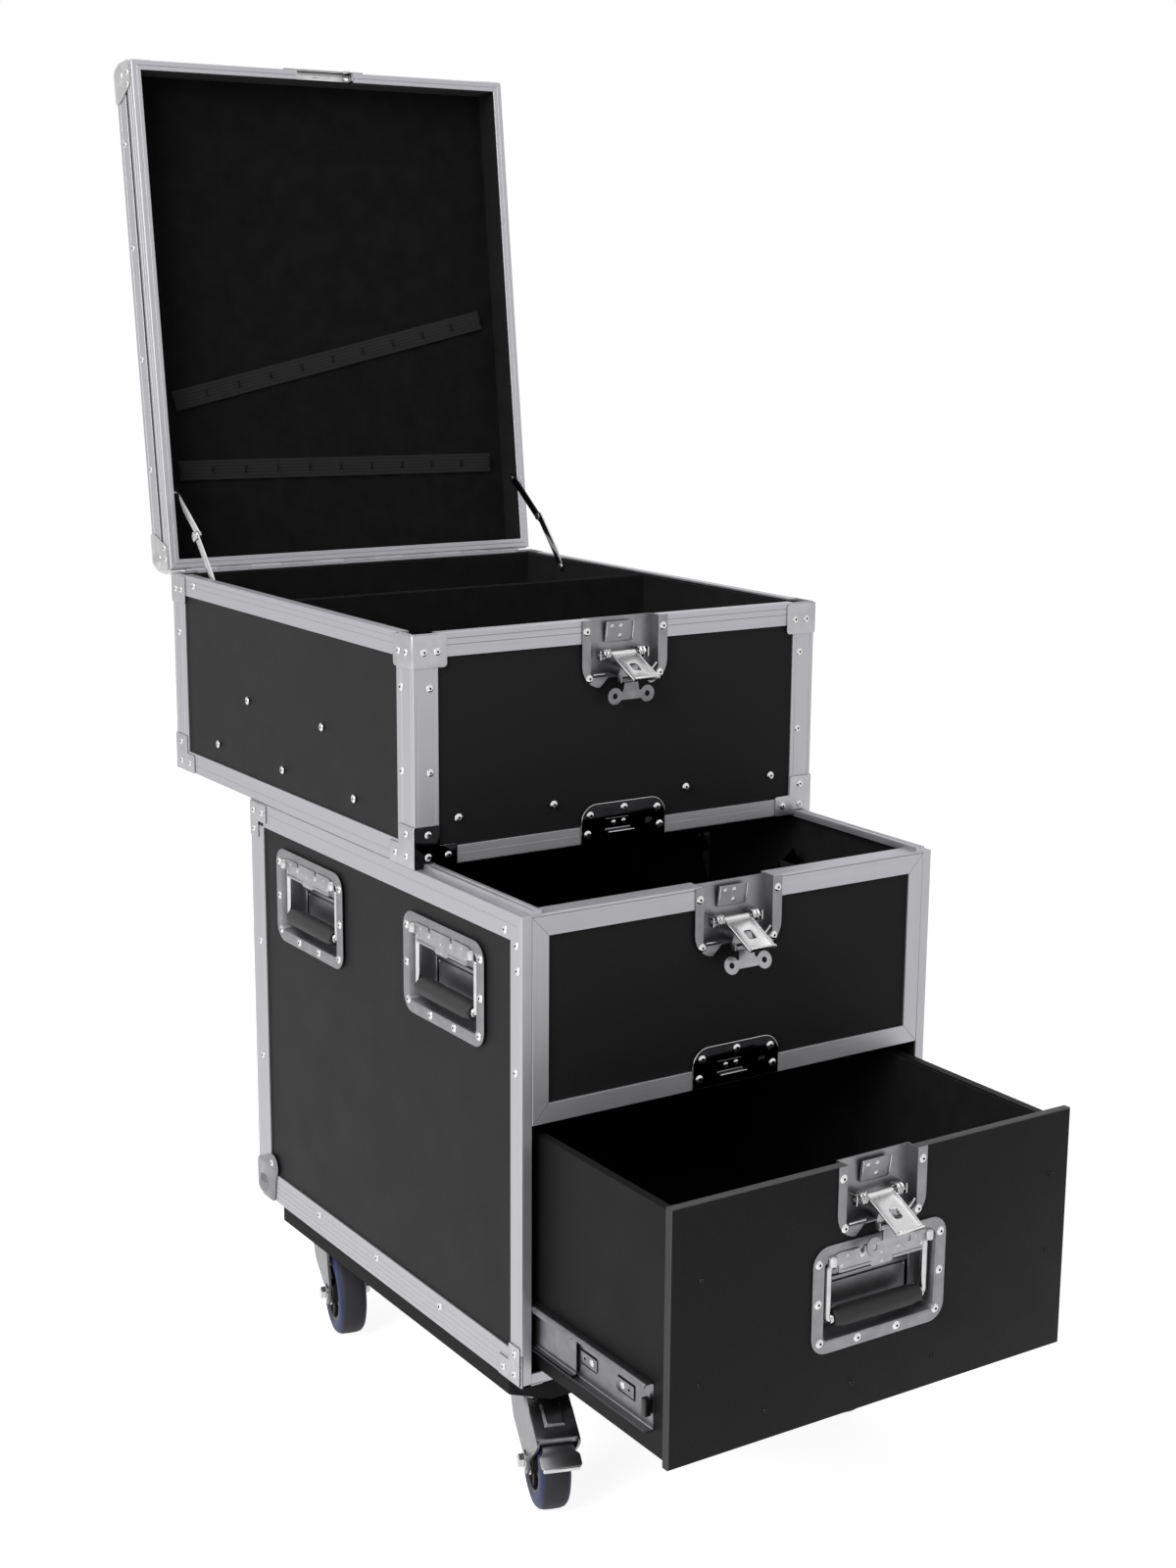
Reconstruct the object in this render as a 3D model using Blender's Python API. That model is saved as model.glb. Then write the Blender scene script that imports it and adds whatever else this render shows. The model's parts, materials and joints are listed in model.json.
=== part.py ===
"""Flight case on castors: a base with a drawer, a sliding top case and a hinged lid.

Every shape is given in the case's own frame: x to the right, y back from the front face of the
base, z up from the underside of the base. One empty lifts that frame onto its castors.
"""

import math

import bmesh
import bpy
from mathutils import Matrix, Vector

# Overall sizes in metres
WIDTH = 0.500
DEPTH = 0.591
BASE_HEIGHT = 0.473
TOP_HEIGHT = 0.2362
LID_HEIGHT = 0.0515
GAP = 0.0003
PANEL = 0.007
ANGLE_WALL = 0.002

# How the case stands open
TOP_BACK = 0.2045
LID_OPEN = math.radians(96.9)
DRAWER_OUT = 0.2283

# Castors and their board
FLOOR_BELOW_BASE = 0.155
BOARD_THICK = 0.0265
BOARD_INSET = 0.011
BOARD_CHAMFER = 0.030
FRONT_CASTOR = (0.185, 0.074)
REAR_CASTOR = (0.180, 0.532)
WHEEL_RADIUS = 0.050
WHEEL_WIDTH = 0.032
TRAIL = 0.038
AXLE_DROP = FLOOR_BELOW_BASE - BOARD_THICK - GAP - WHEEL_RADIUS
CHEEK_INSIDE = 0.0195
CHEEK_THICK = 0.0025
AXLE_RADIUS = 0.004
PEDAL_PIVOT = (-0.062, -0.026)
PEDAL_SLOPE = math.radians(31)
CASTOR_TURN = {"front_left": -19.0, "rear_left": -13.6, "front_right": -16.0, "rear_right": -11.0}

# Edge rails of the base
POST_FACE = 0.0115
SIDE_POST = 0.0205
SIDE_BACK_POST = 0.033
SIDE_TOP_RAIL = 0.027
SIDE_BOTTOM_RAIL = 0.034
RIM = 0.0215
BOTTOM_RIM_X = 0.2255
DRAWER_SILL = 0.0125
FRONT_TOP_LIP = 0.0022
TONGUE = (0.2285, 0.240)
TONGUE_RISE = 0.005
TONGUE_PLAY = 0.0006

# Front of the base
STRIP_BOTTOM = 0.2664
STRIP_INNER = (0.220, 0.286, 0.451)
SHELF_Z = 0.270

# Edge rails of the top case and the lid
TOP_POST = 0.0285
TOP_RAIL = 0.0245
TOP_SIDE_POST = 0.034
TOP_RIM = 0.0115
LID_RAIL = 0.0265
LID_RIM_RAIL = 0.018
LID_NOTCH = (0.0385, 0.013)

DIVIDER_Y = 0.320
DIVIDER_BELOW_RIM = 0.025

# Piano hinge: its pin lies just behind the back faces
PIN_BEHIND = 0.0024
KNUCKLE_RADIUS = 0.0021
PIN_RADIUS = 0.0009
KNUCKLES = 11
HINGE_LENGTH = 0.464
LEAF_HEIGHT = 0.022
LEAF_THICK = 0.0009
LEAF_START = 0.0030

# Drawer
DRAWER_Z = (0.0163, 0.2635)
DRAWER_BOX_X = 0.228
DRAWER_BOX_Z = (0.014, 0.254)
DRAWER_BOX_BACK = 0.560
DRAWER_WALL = 0.009
SLIDE_Z = 0.060
SLIDE_ENDS = (0.015, 0.565)
SLIDE_CENTRE_START = 0.045
SLIDE_INNER_START = 0.037
SLIDE_SHEET = 0.0013

# Slide members: the plate's x, how far its flanges reach in x, and half its height
SLIDE_OUTER = (0.2401, 0.2322, 0.0183)
SLIDE_CENTRE = (0.2302, 0.2374, 0.0205)
SLIDE_INNER = (0.2283, 0.2374, 0.0225)

# Pressed dishes, measured on the face that they are riveted to
SHEET = 0.0012
HANDLE_SIZE = (0.160, 0.106)
HANDLE_FLANGE = 0.014
HANDLE_DEEP = 0.0265
HANDLE_CORNER = 0.018
COVER_HALF = 0.049
COVER_DROP = 0.0155
GRIP_RADIUS = 0.010
GRIP_LENGTH = 0.106
ARM_RADIUS = 0.004
ARM_X = 0.058
BAIL_PIVOT_Z = 0.028
BAIL_DROP = 0.050
BAIL_DEEP = 0.0040
LATCH_SIZE = (0.106, 0.0715)
LATCH_POCKET = (0.084, 0.060)
LATCH_DEEP = 0.014
LATCH_CORNER = 0.025
LATCH_NOTCH = 0.020
KEEPER_SIZE = (0.105, 0.042)
KEEPER_CORNER = 0.024
HOOK_PIVOT = (0.004, -0.038)
HOOK_LENGTH = 0.049
HOOK_WIDTH = 0.030
HOOK_PLATE = 0.0018
HOOK_BARREL = 0.0032
HOOK_LIP_RISE = 0.0040
HOOK_FOLD_RISE = 0.0024
WING_PIVOT = (-0.0125, -0.064)
WING_DROP = 0.0155
WING_LOBE = 0.009
WING_SPREAD = 0.020
WING_HOLE = 0.003
WING_SHEET = 0.0018
CAM_BOSS = (-0.0548, 0.006)

# Lid stays: pivots as (y, z) from the back top edge of the top case, at the photographed pose
STAY_LOW = (-0.0950, -0.0120)
STAY_ELBOW = (-0.0440, 0.0470)
STAY_HIGH = (0.0203, 0.0915)
STAY_WIDTH = 0.0105
STAY_PIN = 0.0035
STAY_PIN_END = 0.2403
STAY_PLANES = ((0.2360, 0.2378), (0.2333, 0.2351))

HALF = WIDTH / 2
TOP_Z = BASE_HEIGHT + GAP
RIM_Z = TOP_Z + TOP_HEIGHT
SIDE_PLACES = {"front": (0.147, 0.377), "rear": (0.442, 0.379)}
DRAWER_HANDLE_Z = 0.1365
HOOK_REST = math.radians(27.0)
WING_REST = {"base": math.radians(18.0), "lid": 0.0, "drawer": math.radians(10.0)}

# How far the frame is moved so that the open case stands centred on the origin
MIDDLE_Y = 0.3252
LIFT = FLOOR_BELOW_BASE


def clear_scene():
    for thing in list(bpy.data.objects):
        bpy.data.objects.remove(thing)


def material(name, colour, roughness, metallic):
    made = bpy.data.materials.new(name)
    made.use_nodes = True
    shader = made.node_tree.nodes["Principled BSDF"]
    shader.inputs["Base Color"].default_value = (*colour, 1.0)
    shader.inputs["Roughness"].default_value = roughness
    shader.inputs["Metallic"].default_value = metallic
    return made


def empty(name, at, parent=None, turn=(0.0, 0.0, 0.0)):
    made = bpy.data.objects.new(name, None)
    bpy.context.collection.objects.link(made)
    made.parent = parent
    made.location = at
    made.rotation_euler = turn
    return made


# Simple shapes, each a bmesh

def box(low, high):
    shape = bmesh.new()
    bmesh.ops.create_cube(shape, size=1.0)
    size = Vector(high) - Vector(low)
    middle = (Vector(high) + Vector(low)) / 2
    bmesh.ops.scale(shape, vec=size, verts=shape.verts)
    bmesh.ops.translate(shape, vec=middle, verts=shape.verts)
    return shape


def prism(outline, axis, low, high):
    """A flat outline pushed from low to high. Its pairs are (y, z) on x, (x, z) on y, (x, y) on z."""
    shape = bmesh.new()
    place = {
        "x": lambda a, b: (low, a, b),
        "y": lambda a, b: (a, low, b),
        "z": lambda a, b: (a, b, low),
    }[axis]
    push = Vector([high - low if axis == name else 0.0 for name in "xyz"])
    face = shape.faces.new([shape.verts.new(place(a, b)) for a, b in outline])
    grown = bmesh.ops.extrude_face_region(shape, geom=[face])
    moved = [v for v in grown["geom"] if isinstance(v, bmesh.types.BMVert)]
    bmesh.ops.translate(shape, vec=push, verts=moved)
    bmesh.ops.recalc_face_normals(shape, faces=shape.faces)
    return shape


def rod(axis, at, radius, low, high, sides=12):
    """A round bar along an axis. at holds its other two coordinates."""
    turn = {"x": Matrix.Rotation(math.pi / 2, 4, "Y"), "y": Matrix.Rotation(math.pi / 2, 4, "X")}
    middle = (low + high) / 2
    centre = {"x": (middle, *at), "y": (at[0], middle, at[1]), "z": (*at, middle)}[axis]
    shape = bmesh.new()
    bmesh.ops.create_cone(
        shape, cap_ends=True, segments=sides, radius1=radius, radius2=radius, depth=high - low
    )
    bmesh.ops.transform(shape, matrix=turn.get(axis, Matrix()), verts=shape.verts)
    bmesh.ops.translate(shape, vec=Vector(centre), verts=shape.verts)
    return shape


def rounded(x0, x1, z0, z1, corners, steps=5):
    """A rectangle's outline. corners holds the radii at low left, low right, high right and high left."""
    places = ((x0, z0, 180), (x1, z0, 270), (x1, z1, 0), (x0, z1, 90))
    outline = []
    for (x, z, start), radius in zip(places, corners):
        if radius == 0:
            outline.append((x, z))
            continue
        cx = x + radius if x == x0 else x - radius
        cz = z + radius if z == z0 else z - radius
        for step in range(steps + 1):
            turn = math.radians(start + 90 * step / steps)
            outline.append((cx + radius * math.cos(turn), cz + radius * math.sin(turn)))
    return outline


def bar_outline(start, end, width, steps=6):
    """A flat bar's outline between two points, with half-round ends."""
    a = Vector(start)
    b = Vector(end)
    heading = math.atan2(b.y - a.y, b.x - a.x)
    outline = []
    for centre, first in ((b, heading - math.pi / 2), (a, heading + math.pi / 2)):
        for step in range(steps + 1):
            turn = first + math.pi * step / steps
            outline.append(
                (centre.x + width / 2 * math.cos(turn), centre.y + width / 2 * math.sin(turn))
            )
    return outline


# Shapes joined and cut into one solid

def loose_object(shape):
    mesh = bpy.data.meshes.new("shape")
    shape.to_mesh(mesh)
    shape.free()
    made = bpy.data.objects.new("shape", mesh)
    bpy.context.collection.objects.link(made)
    return made


def carved(start, joins=(), cuts=(), late_joins=()):
    """The first shape with others joined to it, then cut, then joined again, as one mesh."""
    body = loose_object(start)
    helpers = []
    steps = [("UNION", s) for s in joins] + [("DIFFERENCE", s) for s in cuts]
    steps += [("UNION", s) for s in late_joins]
    for operation, shape in steps:
        helper = loose_object(shape)
        helpers.append(helper)
        modifier = body.modifiers.new(operation, "BOOLEAN")
        modifier.operation = operation
        modifier.object = helper
    bpy.context.view_layer.update()
    graph = bpy.context.evaluated_depsgraph_get()
    mesh = bpy.data.meshes.new_from_object(body.evaluated_get(graph))
    for thing in [body, *helpers]:
        bpy.data.objects.remove(thing)
    return mesh


def piece(name, mesh, parent, finish, smooth=False):
    made = bpy.data.objects.new(name, mesh)
    bpy.context.collection.objects.link(made)
    made.parent = parent
    if smooth:
        mesh.shade_smooth()
        mesh.set_sharp_from_angle(angle=math.radians(35))
    if not mesh.materials:
        mesh.materials.append(finish)
    return made


def mirrored(mesh):
    """The same mesh on the other side of x = 0."""
    copy = mesh.copy()
    copy.transform(Matrix.Diagonal((-1.0, 1.0, 1.0, 1.0)))
    copy.flip_normals()
    return copy


# Holes that the pressed dishes need in whatever they sit in

def handle_hole():
    half_x = HANDLE_SIZE[0] / 2 - HANDLE_FLANGE + SHEET + GAP
    half_z = HANDLE_SIZE[1] / 2 - HANDLE_FLANGE + SHEET + GAP
    return box((-half_x, -0.004, -half_z), (half_x, HANDLE_DEEP + SHEET + GAP, half_z))


def latch_hole():
    half_x = LATCH_POCKET[0] / 2 + SHEET + GAP
    low = -LATCH_POCKET[1] - SHEET - GAP
    return box((-half_x, -0.004, low), (half_x, LATCH_DEEP + SHEET + GAP, 0.004))


def moved(shape, at, turn=0.0):
    bmesh.ops.transform(
        shape, matrix=Matrix.Translation(at) @ Matrix.Rotation(turn, 4, "Z"), verts=shape.verts
    )
    return shape


# Hardware

def handle_dish():
    half_x = HANDLE_SIZE[0] / 2
    half_z = HANDLE_SIZE[1] / 2
    in_x = half_x - HANDLE_FLANGE
    in_z = half_z - HANDLE_FLANGE
    flange = prism(rounded(-half_x, half_x, -half_z, half_z, (HANDLE_CORNER,) * 4), "y", -SHEET - GAP, -GAP)
    tray = box(
        (-in_x - SHEET, -0.0008, -in_z - SHEET), (in_x + SHEET, HANDLE_DEEP + SHEET, in_z + SHEET)
    )
    pocket = box((-in_x, -0.004, -in_z), (in_x, HANDLE_DEEP, in_z))
    cover = box((-COVER_HALF, -SHEET - GAP, in_z - COVER_DROP), (COVER_HALF, -GAP, in_z + 0.003))
    return carved(flange, joins=[tray], cuts=[pocket], late_joins=[cover])


def handle_bail():
    """Two arms and their rubber grip, hanging from a cross axis at the origin."""
    grip = rod("x", (0.0, -BAIL_DROP), GRIP_RADIUS, -GRIP_LENGTH / 2, GRIP_LENGTH / 2, 16)
    core = rod("x", (0.0, -BAIL_DROP), ARM_RADIUS, -ARM_X - 0.002, ARM_X + 0.002)
    arms = [rod("z", (x, 0.0), ARM_RADIUS, -BAIL_DROP - 0.003, 0.004) for x in (-ARM_X, ARM_X)]
    return carved(grip, joins=[core, *arms])


def latch_dish():
    half_x = LATCH_SIZE[0] / 2
    in_x = LATCH_POCKET[0] / 2
    low = -LATCH_POCKET[1]
    outline = rounded(-half_x, half_x, -LATCH_SIZE[1], -GAP, (LATCH_CORNER, LATCH_CORNER, 0.0, 0.0))
    flange = prism(outline, "y", -SHEET - GAP, -GAP)
    tray = box((-in_x - SHEET, -0.0008, low - SHEET), (in_x + SHEET, LATCH_DEEP + SHEET, -GAP))
    pocket = box((-in_x, -0.004, low), (in_x, LATCH_DEEP, 0.004))
    notch = box(
        (-LATCH_NOTCH, -0.004, -LATCH_SIZE[1] - 0.004), (LATCH_NOTCH, -0.0001, low - SHEET - 0.0005)
    )
    boss = rod("y", (0.0, CAM_BOSS[0]), CAM_BOSS[1], -0.0095, LATCH_DEEP + SHEET / 2, 12)
    return carved(flange, joins=[tray], cuts=[pocket, notch], late_joins=[boss])


def latch_hook():
    """The hook plate pointing straight out from its pin, with folded edges and an end lip."""
    half = HOOK_WIDTH / 2
    thick = HOOK_PLATE / 2
    barrel = rod("x", (0.0, 0.0), HOOK_BARREL, -0.019, 0.019)
    plate = box((-half, -HOOK_LENGTH, -thick), (half, 0.0, thick))
    lip = box((-half, -HOOK_LENGTH, -thick), (half, -HOOK_LENGTH + HOOK_PLATE, HOOK_LIP_RISE))
    folds = [
        box((side * half - 0.0008, -HOOK_LENGTH + 0.004, -thick),
            (side * half + 0.0008, -0.004, HOOK_FOLD_RISE))
        for side in (-1, 1)
    ]
    hole = box((-0.005, -0.033, -0.006), (0.005, -0.020, 0.006))
    return carved(barrel, joins=[plate, lip, *folds], cuts=[hole])


def latch_wing():
    """The two-lobed turn handle, hanging down from its fold at the origin."""
    drop = -WING_DROP
    thick = WING_SHEET / 2
    waist_half = WING_LOBE / 2
    waist = box((-WING_SPREAD, -thick, drop - waist_half), (WING_SPREAD, thick, drop + waist_half))
    lobes = [rod("y", (x, drop), WING_LOBE, -thick, thick, 16) for x in (-WING_SPREAD, WING_SPREAD)]
    holes = [rod("y", (x, drop), WING_HOLE, -0.004, 0.004, 10) for x in (-WING_SPREAD, WING_SPREAD)]
    neck = prism([(-0.007, 0.0), (-0.010, drop), (0.010, drop), (0.007, 0.0)], "y", -0.0008, 0.0008)
    barrel = rod("x", (0.0, 0.0), 0.0024, -0.012, 0.012, 10)
    return carved(waist, joins=[*lobes, neck, barrel], cuts=holes)


def keeper():
    half = KEEPER_SIZE[0] / 2
    outline = rounded(-half, half, 0.0008, KEEPER_SIZE[1], (0.0, 0.0, KEEPER_CORNER, KEEPER_CORNER))
    plate = prism(outline, "y", -SHEET - GAP, -GAP)
    lip = box((-0.012, -0.0030, 0.0030), (0.012, -0.0010, 0.0046))
    return carved(plate, joins=[lip])


# Castors, each modelled with its swivel axis at the origin and its wheel behind it at -y

def castor_fork(with_hood):
    axle_y = -TRAIL
    axle_z = -AXLE_DROP
    if with_hood:
        trailing = [(-0.058, -0.064), (-0.090, -0.038), (-0.092, -0.032), (-0.030, -0.004)]
    else:
        trailing = [(-0.051, -0.062), (-0.038, -0.022), (-0.030, -0.006)]
    cheek = [(0.028, -0.006), (0.034, -0.018), (0.031, -0.036), (0.018, -0.056)]
    cheek += [(axle_y + 0.013, axle_z - 0.010), (axle_y + 0.005, axle_z - 0.014)]
    cheek += [(axle_y - 0.005, axle_z - 0.014), (axle_y - 0.013, axle_z - 0.010), *trailing]
    outside = CHEEK_INSIDE + CHEEK_THICK
    crown = box((-outside, -0.032, -0.0155), (outside, 0.030, -0.0125))
    head = rod("z", (0.0, 0.0), 0.027, -0.0130, -GAP, 24)
    cheeks = [prism(cheek, "x", *sorted((side * CHEEK_INSIDE, side * outside))) for side in (-1, 1)]
    axle = rod("x", (axle_y, axle_z), AXLE_RADIUS, -outside - 0.001, outside + 0.001)
    bolts = [
        rod("x", (axle_y, axle_z), 0.0075, *sorted((side * (outside - 0.0005), side * (outside + 0.005))), 6)
        for side in (-1, 1)
    ]
    joins = [head, *cheeks, axle, *bolts]
    if with_hood:
        hood = [(-0.028, -0.0050), (-0.090, -0.0335), (-0.0895, -0.0360), (-0.030, -0.0085)]
        joins.append(prism(hood, "x", -CHEEK_INSIDE - 0.001, CHEEK_INSIDE + 0.001))
        joins.append(box((-CHEEK_INSIDE - 0.001, -0.034, -0.0150), (CHEEK_INSIDE + 0.001, -0.028, -0.0065)))
    return carved(crown, joins=joins)


def castor_wheel():
    """A tyre and hub turned round the axle, which lies along x through the origin."""
    half = WHEEL_WIDTH / 2
    bore = AXLE_RADIUS + 2 * GAP
    profile = [
        (-half, 0.034), (-half, 0.041), (-half * 0.86, 0.0475), (-half * 0.45, WHEEL_RADIUS),
        (half * 0.45, WHEEL_RADIUS), (half * 0.86, 0.0475), (half, 0.041), (half, 0.034),
        (half * 0.7, 0.030), (half * 0.7, 0.014), (half + 0.0025, 0.011), (half + 0.0025, bore),
        (-half - 0.0025, bore), (-half - 0.0025, 0.011), (-half * 0.7, 0.014), (-half * 0.7, 0.030),
    ]
    shape = bmesh.new()
    ring = [shape.verts.new((x, 0.0, -radius)) for x, radius in profile]
    edges = [shape.edges.new((ring[i - 1], ring[i])) for i in range(len(ring))]
    bmesh.ops.spin(
        shape, geom=ring + edges, cent=(0, 0, 0), axis=(1, 0, 0), angle=2 * math.pi, steps=24
    )
    bmesh.ops.remove_doubles(shape, verts=shape.verts, dist=0.00001)
    bmesh.ops.recalc_face_normals(shape, faces=shape.faces)
    mesh = bpy.data.meshes.new("castor_wheel")
    shape.to_mesh(mesh)
    shape.free()
    return mesh


def brake_pedal():
    """The foot lever under the hood, with its cross pivot at the origin."""
    along = Vector((-math.cos(PEDAL_SLOPE), -math.sin(PEDAL_SLOPE)))
    across = Vector((math.sin(PEDAL_SLOPE), -math.cos(PEDAL_SLOPE)))
    corners = ((0.0, -0.001), (0.046, -0.001), (0.050, 0.0), (0.050, 0.006), (0.047, 0.006), (0.045, 0.0015))
    outline = [tuple(along * a + across * b) for a, b in corners]
    outline.append(tuple(across * 0.001))
    tread = prism(outline, "x", -0.0165, 0.0165)
    barrel = rod("x", (0.0, 0.0), 0.0022, -0.0190, 0.0190, 10)
    return carved(tread, joins=[barrel])


def make_castor(corner, frame, parts, finishes):
    fork_mesh, wheel_mesh, pedal_mesh = parts
    side = -1 if corner.endswith("left") else 1
    front = corner.startswith("front")
    across, back = FRONT_CASTOR if front else REAR_CASTOR
    at = (side * across, back, -BOARD_THICK - GAP)
    swivel = empty("swivel_" + corner, at, frame, (0.0, 0.0, math.radians(CASTOR_TURN[corner])))
    piece("castor_fork_" + corner, fork_mesh, swivel, finishes["zinc"], smooth=True)
    axle = empty("axle_" + corner, (0.0, -TRAIL, -AXLE_DROP), swivel)
    piece("castor_wheel_" + corner, wheel_mesh, axle, finishes["tyre"], smooth=True)
    if front:
        pivot = empty("pedal_axis_" + corner, (0.0, *PEDAL_PIVOT), swivel)
        piece("brake_pedal_" + corner.split("_")[1], pedal_mesh, pivot, finishes["zinc"], smooth=True)


# Latches and handles set into a face

def make_latch(name, seat, meshes, finishes):
    """seat is an empty at the middle of the dish's top edge, on the face."""
    piece(name + "_latch_dish", meshes["latch_dish"], seat, finishes["zinc"])
    pin = empty(name + "_hook_pin", (0.0, *HOOK_PIVOT), seat, (HOOK_REST, 0.0, 0.0))
    piece(name + "_latch_hook", meshes["latch_hook"], pin, finishes["zinc"])
    fold = empty(name + "_wing_fold", (0.0, *WING_PIVOT), seat, (-WING_REST[name], 0.0, 0.0))
    piece(name + "_latch_wing", meshes["latch_wing"], fold, finishes["zinc"], smooth=True)


def make_handle(names, seat, meshes, finishes):
    dish_name, bail_name = names
    piece(dish_name, meshes["handle_dish"], seat, finishes["zinc"])
    pivot = empty(bail_name + "_axis", (0.0, BAIL_DEEP, BAIL_PIVOT_Z), seat)
    piece(bail_name, meshes["handle_bail"], pivot, finishes["rubber"], smooth=True)


# Base

def make_base(frame, finishes):
    edge = DEPTH - ANGLE_WALL
    outside = box((-HALF, 0.0, 0.0), (HALF, DEPTH, BASE_HEIGHT))
    wall = ANGLE_WALL
    cuts = [
        box((-HALF + wall, wall, wall), (HALF - wall, edge, BASE_HEIGHT - wall)),
        box((-1.0, SIDE_POST, SIDE_BOTTOM_RAIL), (1.0, DEPTH - SIDE_BACK_POST, BASE_HEIGHT - SIDE_TOP_RAIL)),
        box((-HALF + SIDE_BACK_POST, 0.3, SIDE_BOTTOM_RAIL),
            (HALF - SIDE_BACK_POST, 1.0, BASE_HEIGHT - SIDE_TOP_RAIL)),
        box((-HALF + POST_FACE, -0.1, DRAWER_SILL), (HALF - POST_FACE, 0.3, BASE_HEIGHT - FRONT_TOP_LIP)),
        box((-TONGUE[0], RIM, 0.3), (TONGUE[0], DEPTH - RIM, 1.0)),
        box((-BOTTOM_RIM_X, RIM, -0.1), (BOTTOM_RIM_X, DEPTH - RIM, 0.1)),
        moved(latch_hole(), (0.0, 0.0, BASE_HEIGHT)),
    ]
    tongues = [
        box((min(s * TONGUE[0], s * TONGUE[1]), 0.0, BASE_HEIGHT - 0.001),
            (max(s * TONGUE[0], s * TONGUE[1]), DEPTH, BASE_HEIGHT + TONGUE_RISE))
        for s in (-1, 1)
    ]
    piece("base_edge_frame", carved(outside, cuts=cuts, late_joins=tongues), frame, finishes["rail"])

    inset = wall + GAP
    side_low = (-HALF + inset, inset, inset)
    side_high = (-HALF + inset + PANEL, DEPTH - inset, BASE_HEIGHT - inset)
    holes = [
        moved(handle_hole(), (-HALF, y, z), -math.pi / 2) for y, z in SIDE_PLACES.values()
    ]
    side_mesh = carved(box(side_low, side_high), cuts=holes)
    piece("base_left_panel", side_mesh, frame, finishes["panel"])
    piece("base_right_panel", mirrored(side_mesh), frame, finishes["panel"])

    inner_x = HALF - inset - PANEL - GAP
    back_y = DEPTH - inset - PANEL
    floor_mesh = carved(box((-inner_x, inset, inset), (inner_x, back_y - GAP, inset + PANEL)))
    piece("base_floor", floor_mesh, frame, finishes["panel"])
    back_low = (-inner_x, back_y, inset)
    back_mesh = carved(box(back_low, (inner_x, DEPTH - inset, BASE_HEIGHT - inset)))
    piece("base_back_panel", back_mesh, frame, finishes["panel"])
    shelf_low = (-inner_x, inset + PANEL + GAP, SHELF_Z)
    shelf_mesh = carved(box(shelf_low, (inner_x, back_y - GAP, SHELF_Z + PANEL)))
    piece("base_shelf", shelf_mesh, frame, finishes["panel"])

    strip_x = HALF - POST_FACE - GAP
    strip_top = BASE_HEIGHT - FRONT_TOP_LIP - GAP
    front_mesh = carved(
        box((-strip_x, inset, STRIP_BOTTOM + GAP), (strip_x, inset + PANEL, strip_top)),
        cuts=[moved(latch_hole(), (0.0, 0.0, BASE_HEIGHT))],
    )
    piece("base_front_panel", front_mesh, frame, finishes["panel"])
    in_x, in_low, in_high = STRIP_INNER
    strips = carved(
        box((-strip_x, 0.0, STRIP_BOTTOM), (strip_x, wall, strip_top)),
        cuts=[
            box((-in_x, -0.01, in_low), (in_x, 0.01, in_high)),
            moved(latch_hole(), (0.0, 0.0, BASE_HEIGHT)),
        ],
    )
    piece("base_front_strips", strips, frame, finishes["rail"])

    half_x = HALF - BOARD_INSET
    y0 = BOARD_INSET
    y1 = DEPTH - BOARD_INSET
    c = BOARD_CHAMFER
    outline = [(-half_x, y0 + c), (-half_x + c, y0), (half_x - c, y0), (half_x, y0 + c)]
    outline += [(half_x, y1 - c), (half_x - c, y1), (-half_x + c, y1), (-half_x, y1 - c)]
    board = carved(prism(outline, "z", -BOARD_THICK, -GAP))
    piece("castor_board", board, frame, finishes["board"])


# Drawer and its ball-bearing slides

def channel(plate_x, reach_x, half_height, ends):
    """A C section along y: a plate with its flanges reaching towards the other side."""
    thick = SLIDE_SHEET
    low, high = sorted((plate_x, plate_x + math.copysign(thick, reach_x - plate_x)))
    wide_low, wide_high = sorted((plate_x, reach_x))
    flanges = [
        box((wide_low, ends[0], SLIDE_Z + min(s * half_height, s * (half_height - thick))),
            (wide_high, ends[1], SLIDE_Z + max(s * half_height, s * (half_height - thick))))
        for s in (-1, 1)
    ]
    plate = box((low, ends[0], SLIDE_Z - half_height), (high, ends[1], SLIDE_Z + half_height))
    return carved(plate, joins=flanges)


def make_slides(frame, drawer, middle, finishes):
    outer = channel(*SLIDE_OUTER, SLIDE_ENDS)
    centre = channel(*SLIDE_CENTRE, (SLIDE_CENTRE_START, SLIDE_ENDS[1]))
    inner = channel(*SLIDE_INNER, (SLIDE_INNER_START, SLIDE_ENDS[1]))
    for side in ("right", "left"):
        turn = (lambda mesh: mesh) if side == "right" else mirrored
        piece("drawer_rail_" + side, turn(outer), frame, finishes["zinc"])
        piece("drawer_slide_middle_" + side, turn(centre), middle, finishes["zinc"])
        piece("drawer_slide_" + side, turn(inner), drawer, finishes["zinc"])


def make_drawer(drawer, finishes):
    face_x = HALF - POST_FACE - 2 * GAP
    latch_at = (0.0, 0.0, DRAWER_Z[1])
    handle_at = (0.0, 0.0, DRAWER_HANDLE_Z)
    front = carved(
        box((-face_x, 0.0, DRAWER_Z[0]), (face_x, DRAWER_WALL, DRAWER_Z[1])),
        cuts=[moved(latch_hole(), latch_at), moved(handle_hole(), handle_at)],
    )
    piece("drawer_front", front, drawer, finishes["panel"])
    y0 = DRAWER_WALL + GAP
    wall = DRAWER_WALL
    x = DRAWER_BOX_X
    tub = carved(
        box((-x, y0, DRAWER_BOX_Z[0]), (x, DRAWER_BOX_BACK, DRAWER_BOX_Z[1])),
        cuts=[
            box((-x + wall, y0 + wall, DRAWER_BOX_Z[0] + PANEL), (x - wall, DRAWER_BOX_BACK - wall, 1.0)),
            moved(latch_hole(), latch_at),
            moved(handle_hole(), handle_at),
        ],
    )
    piece("drawer_box", tub, drawer, finishes["panel"])


# Top case

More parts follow.
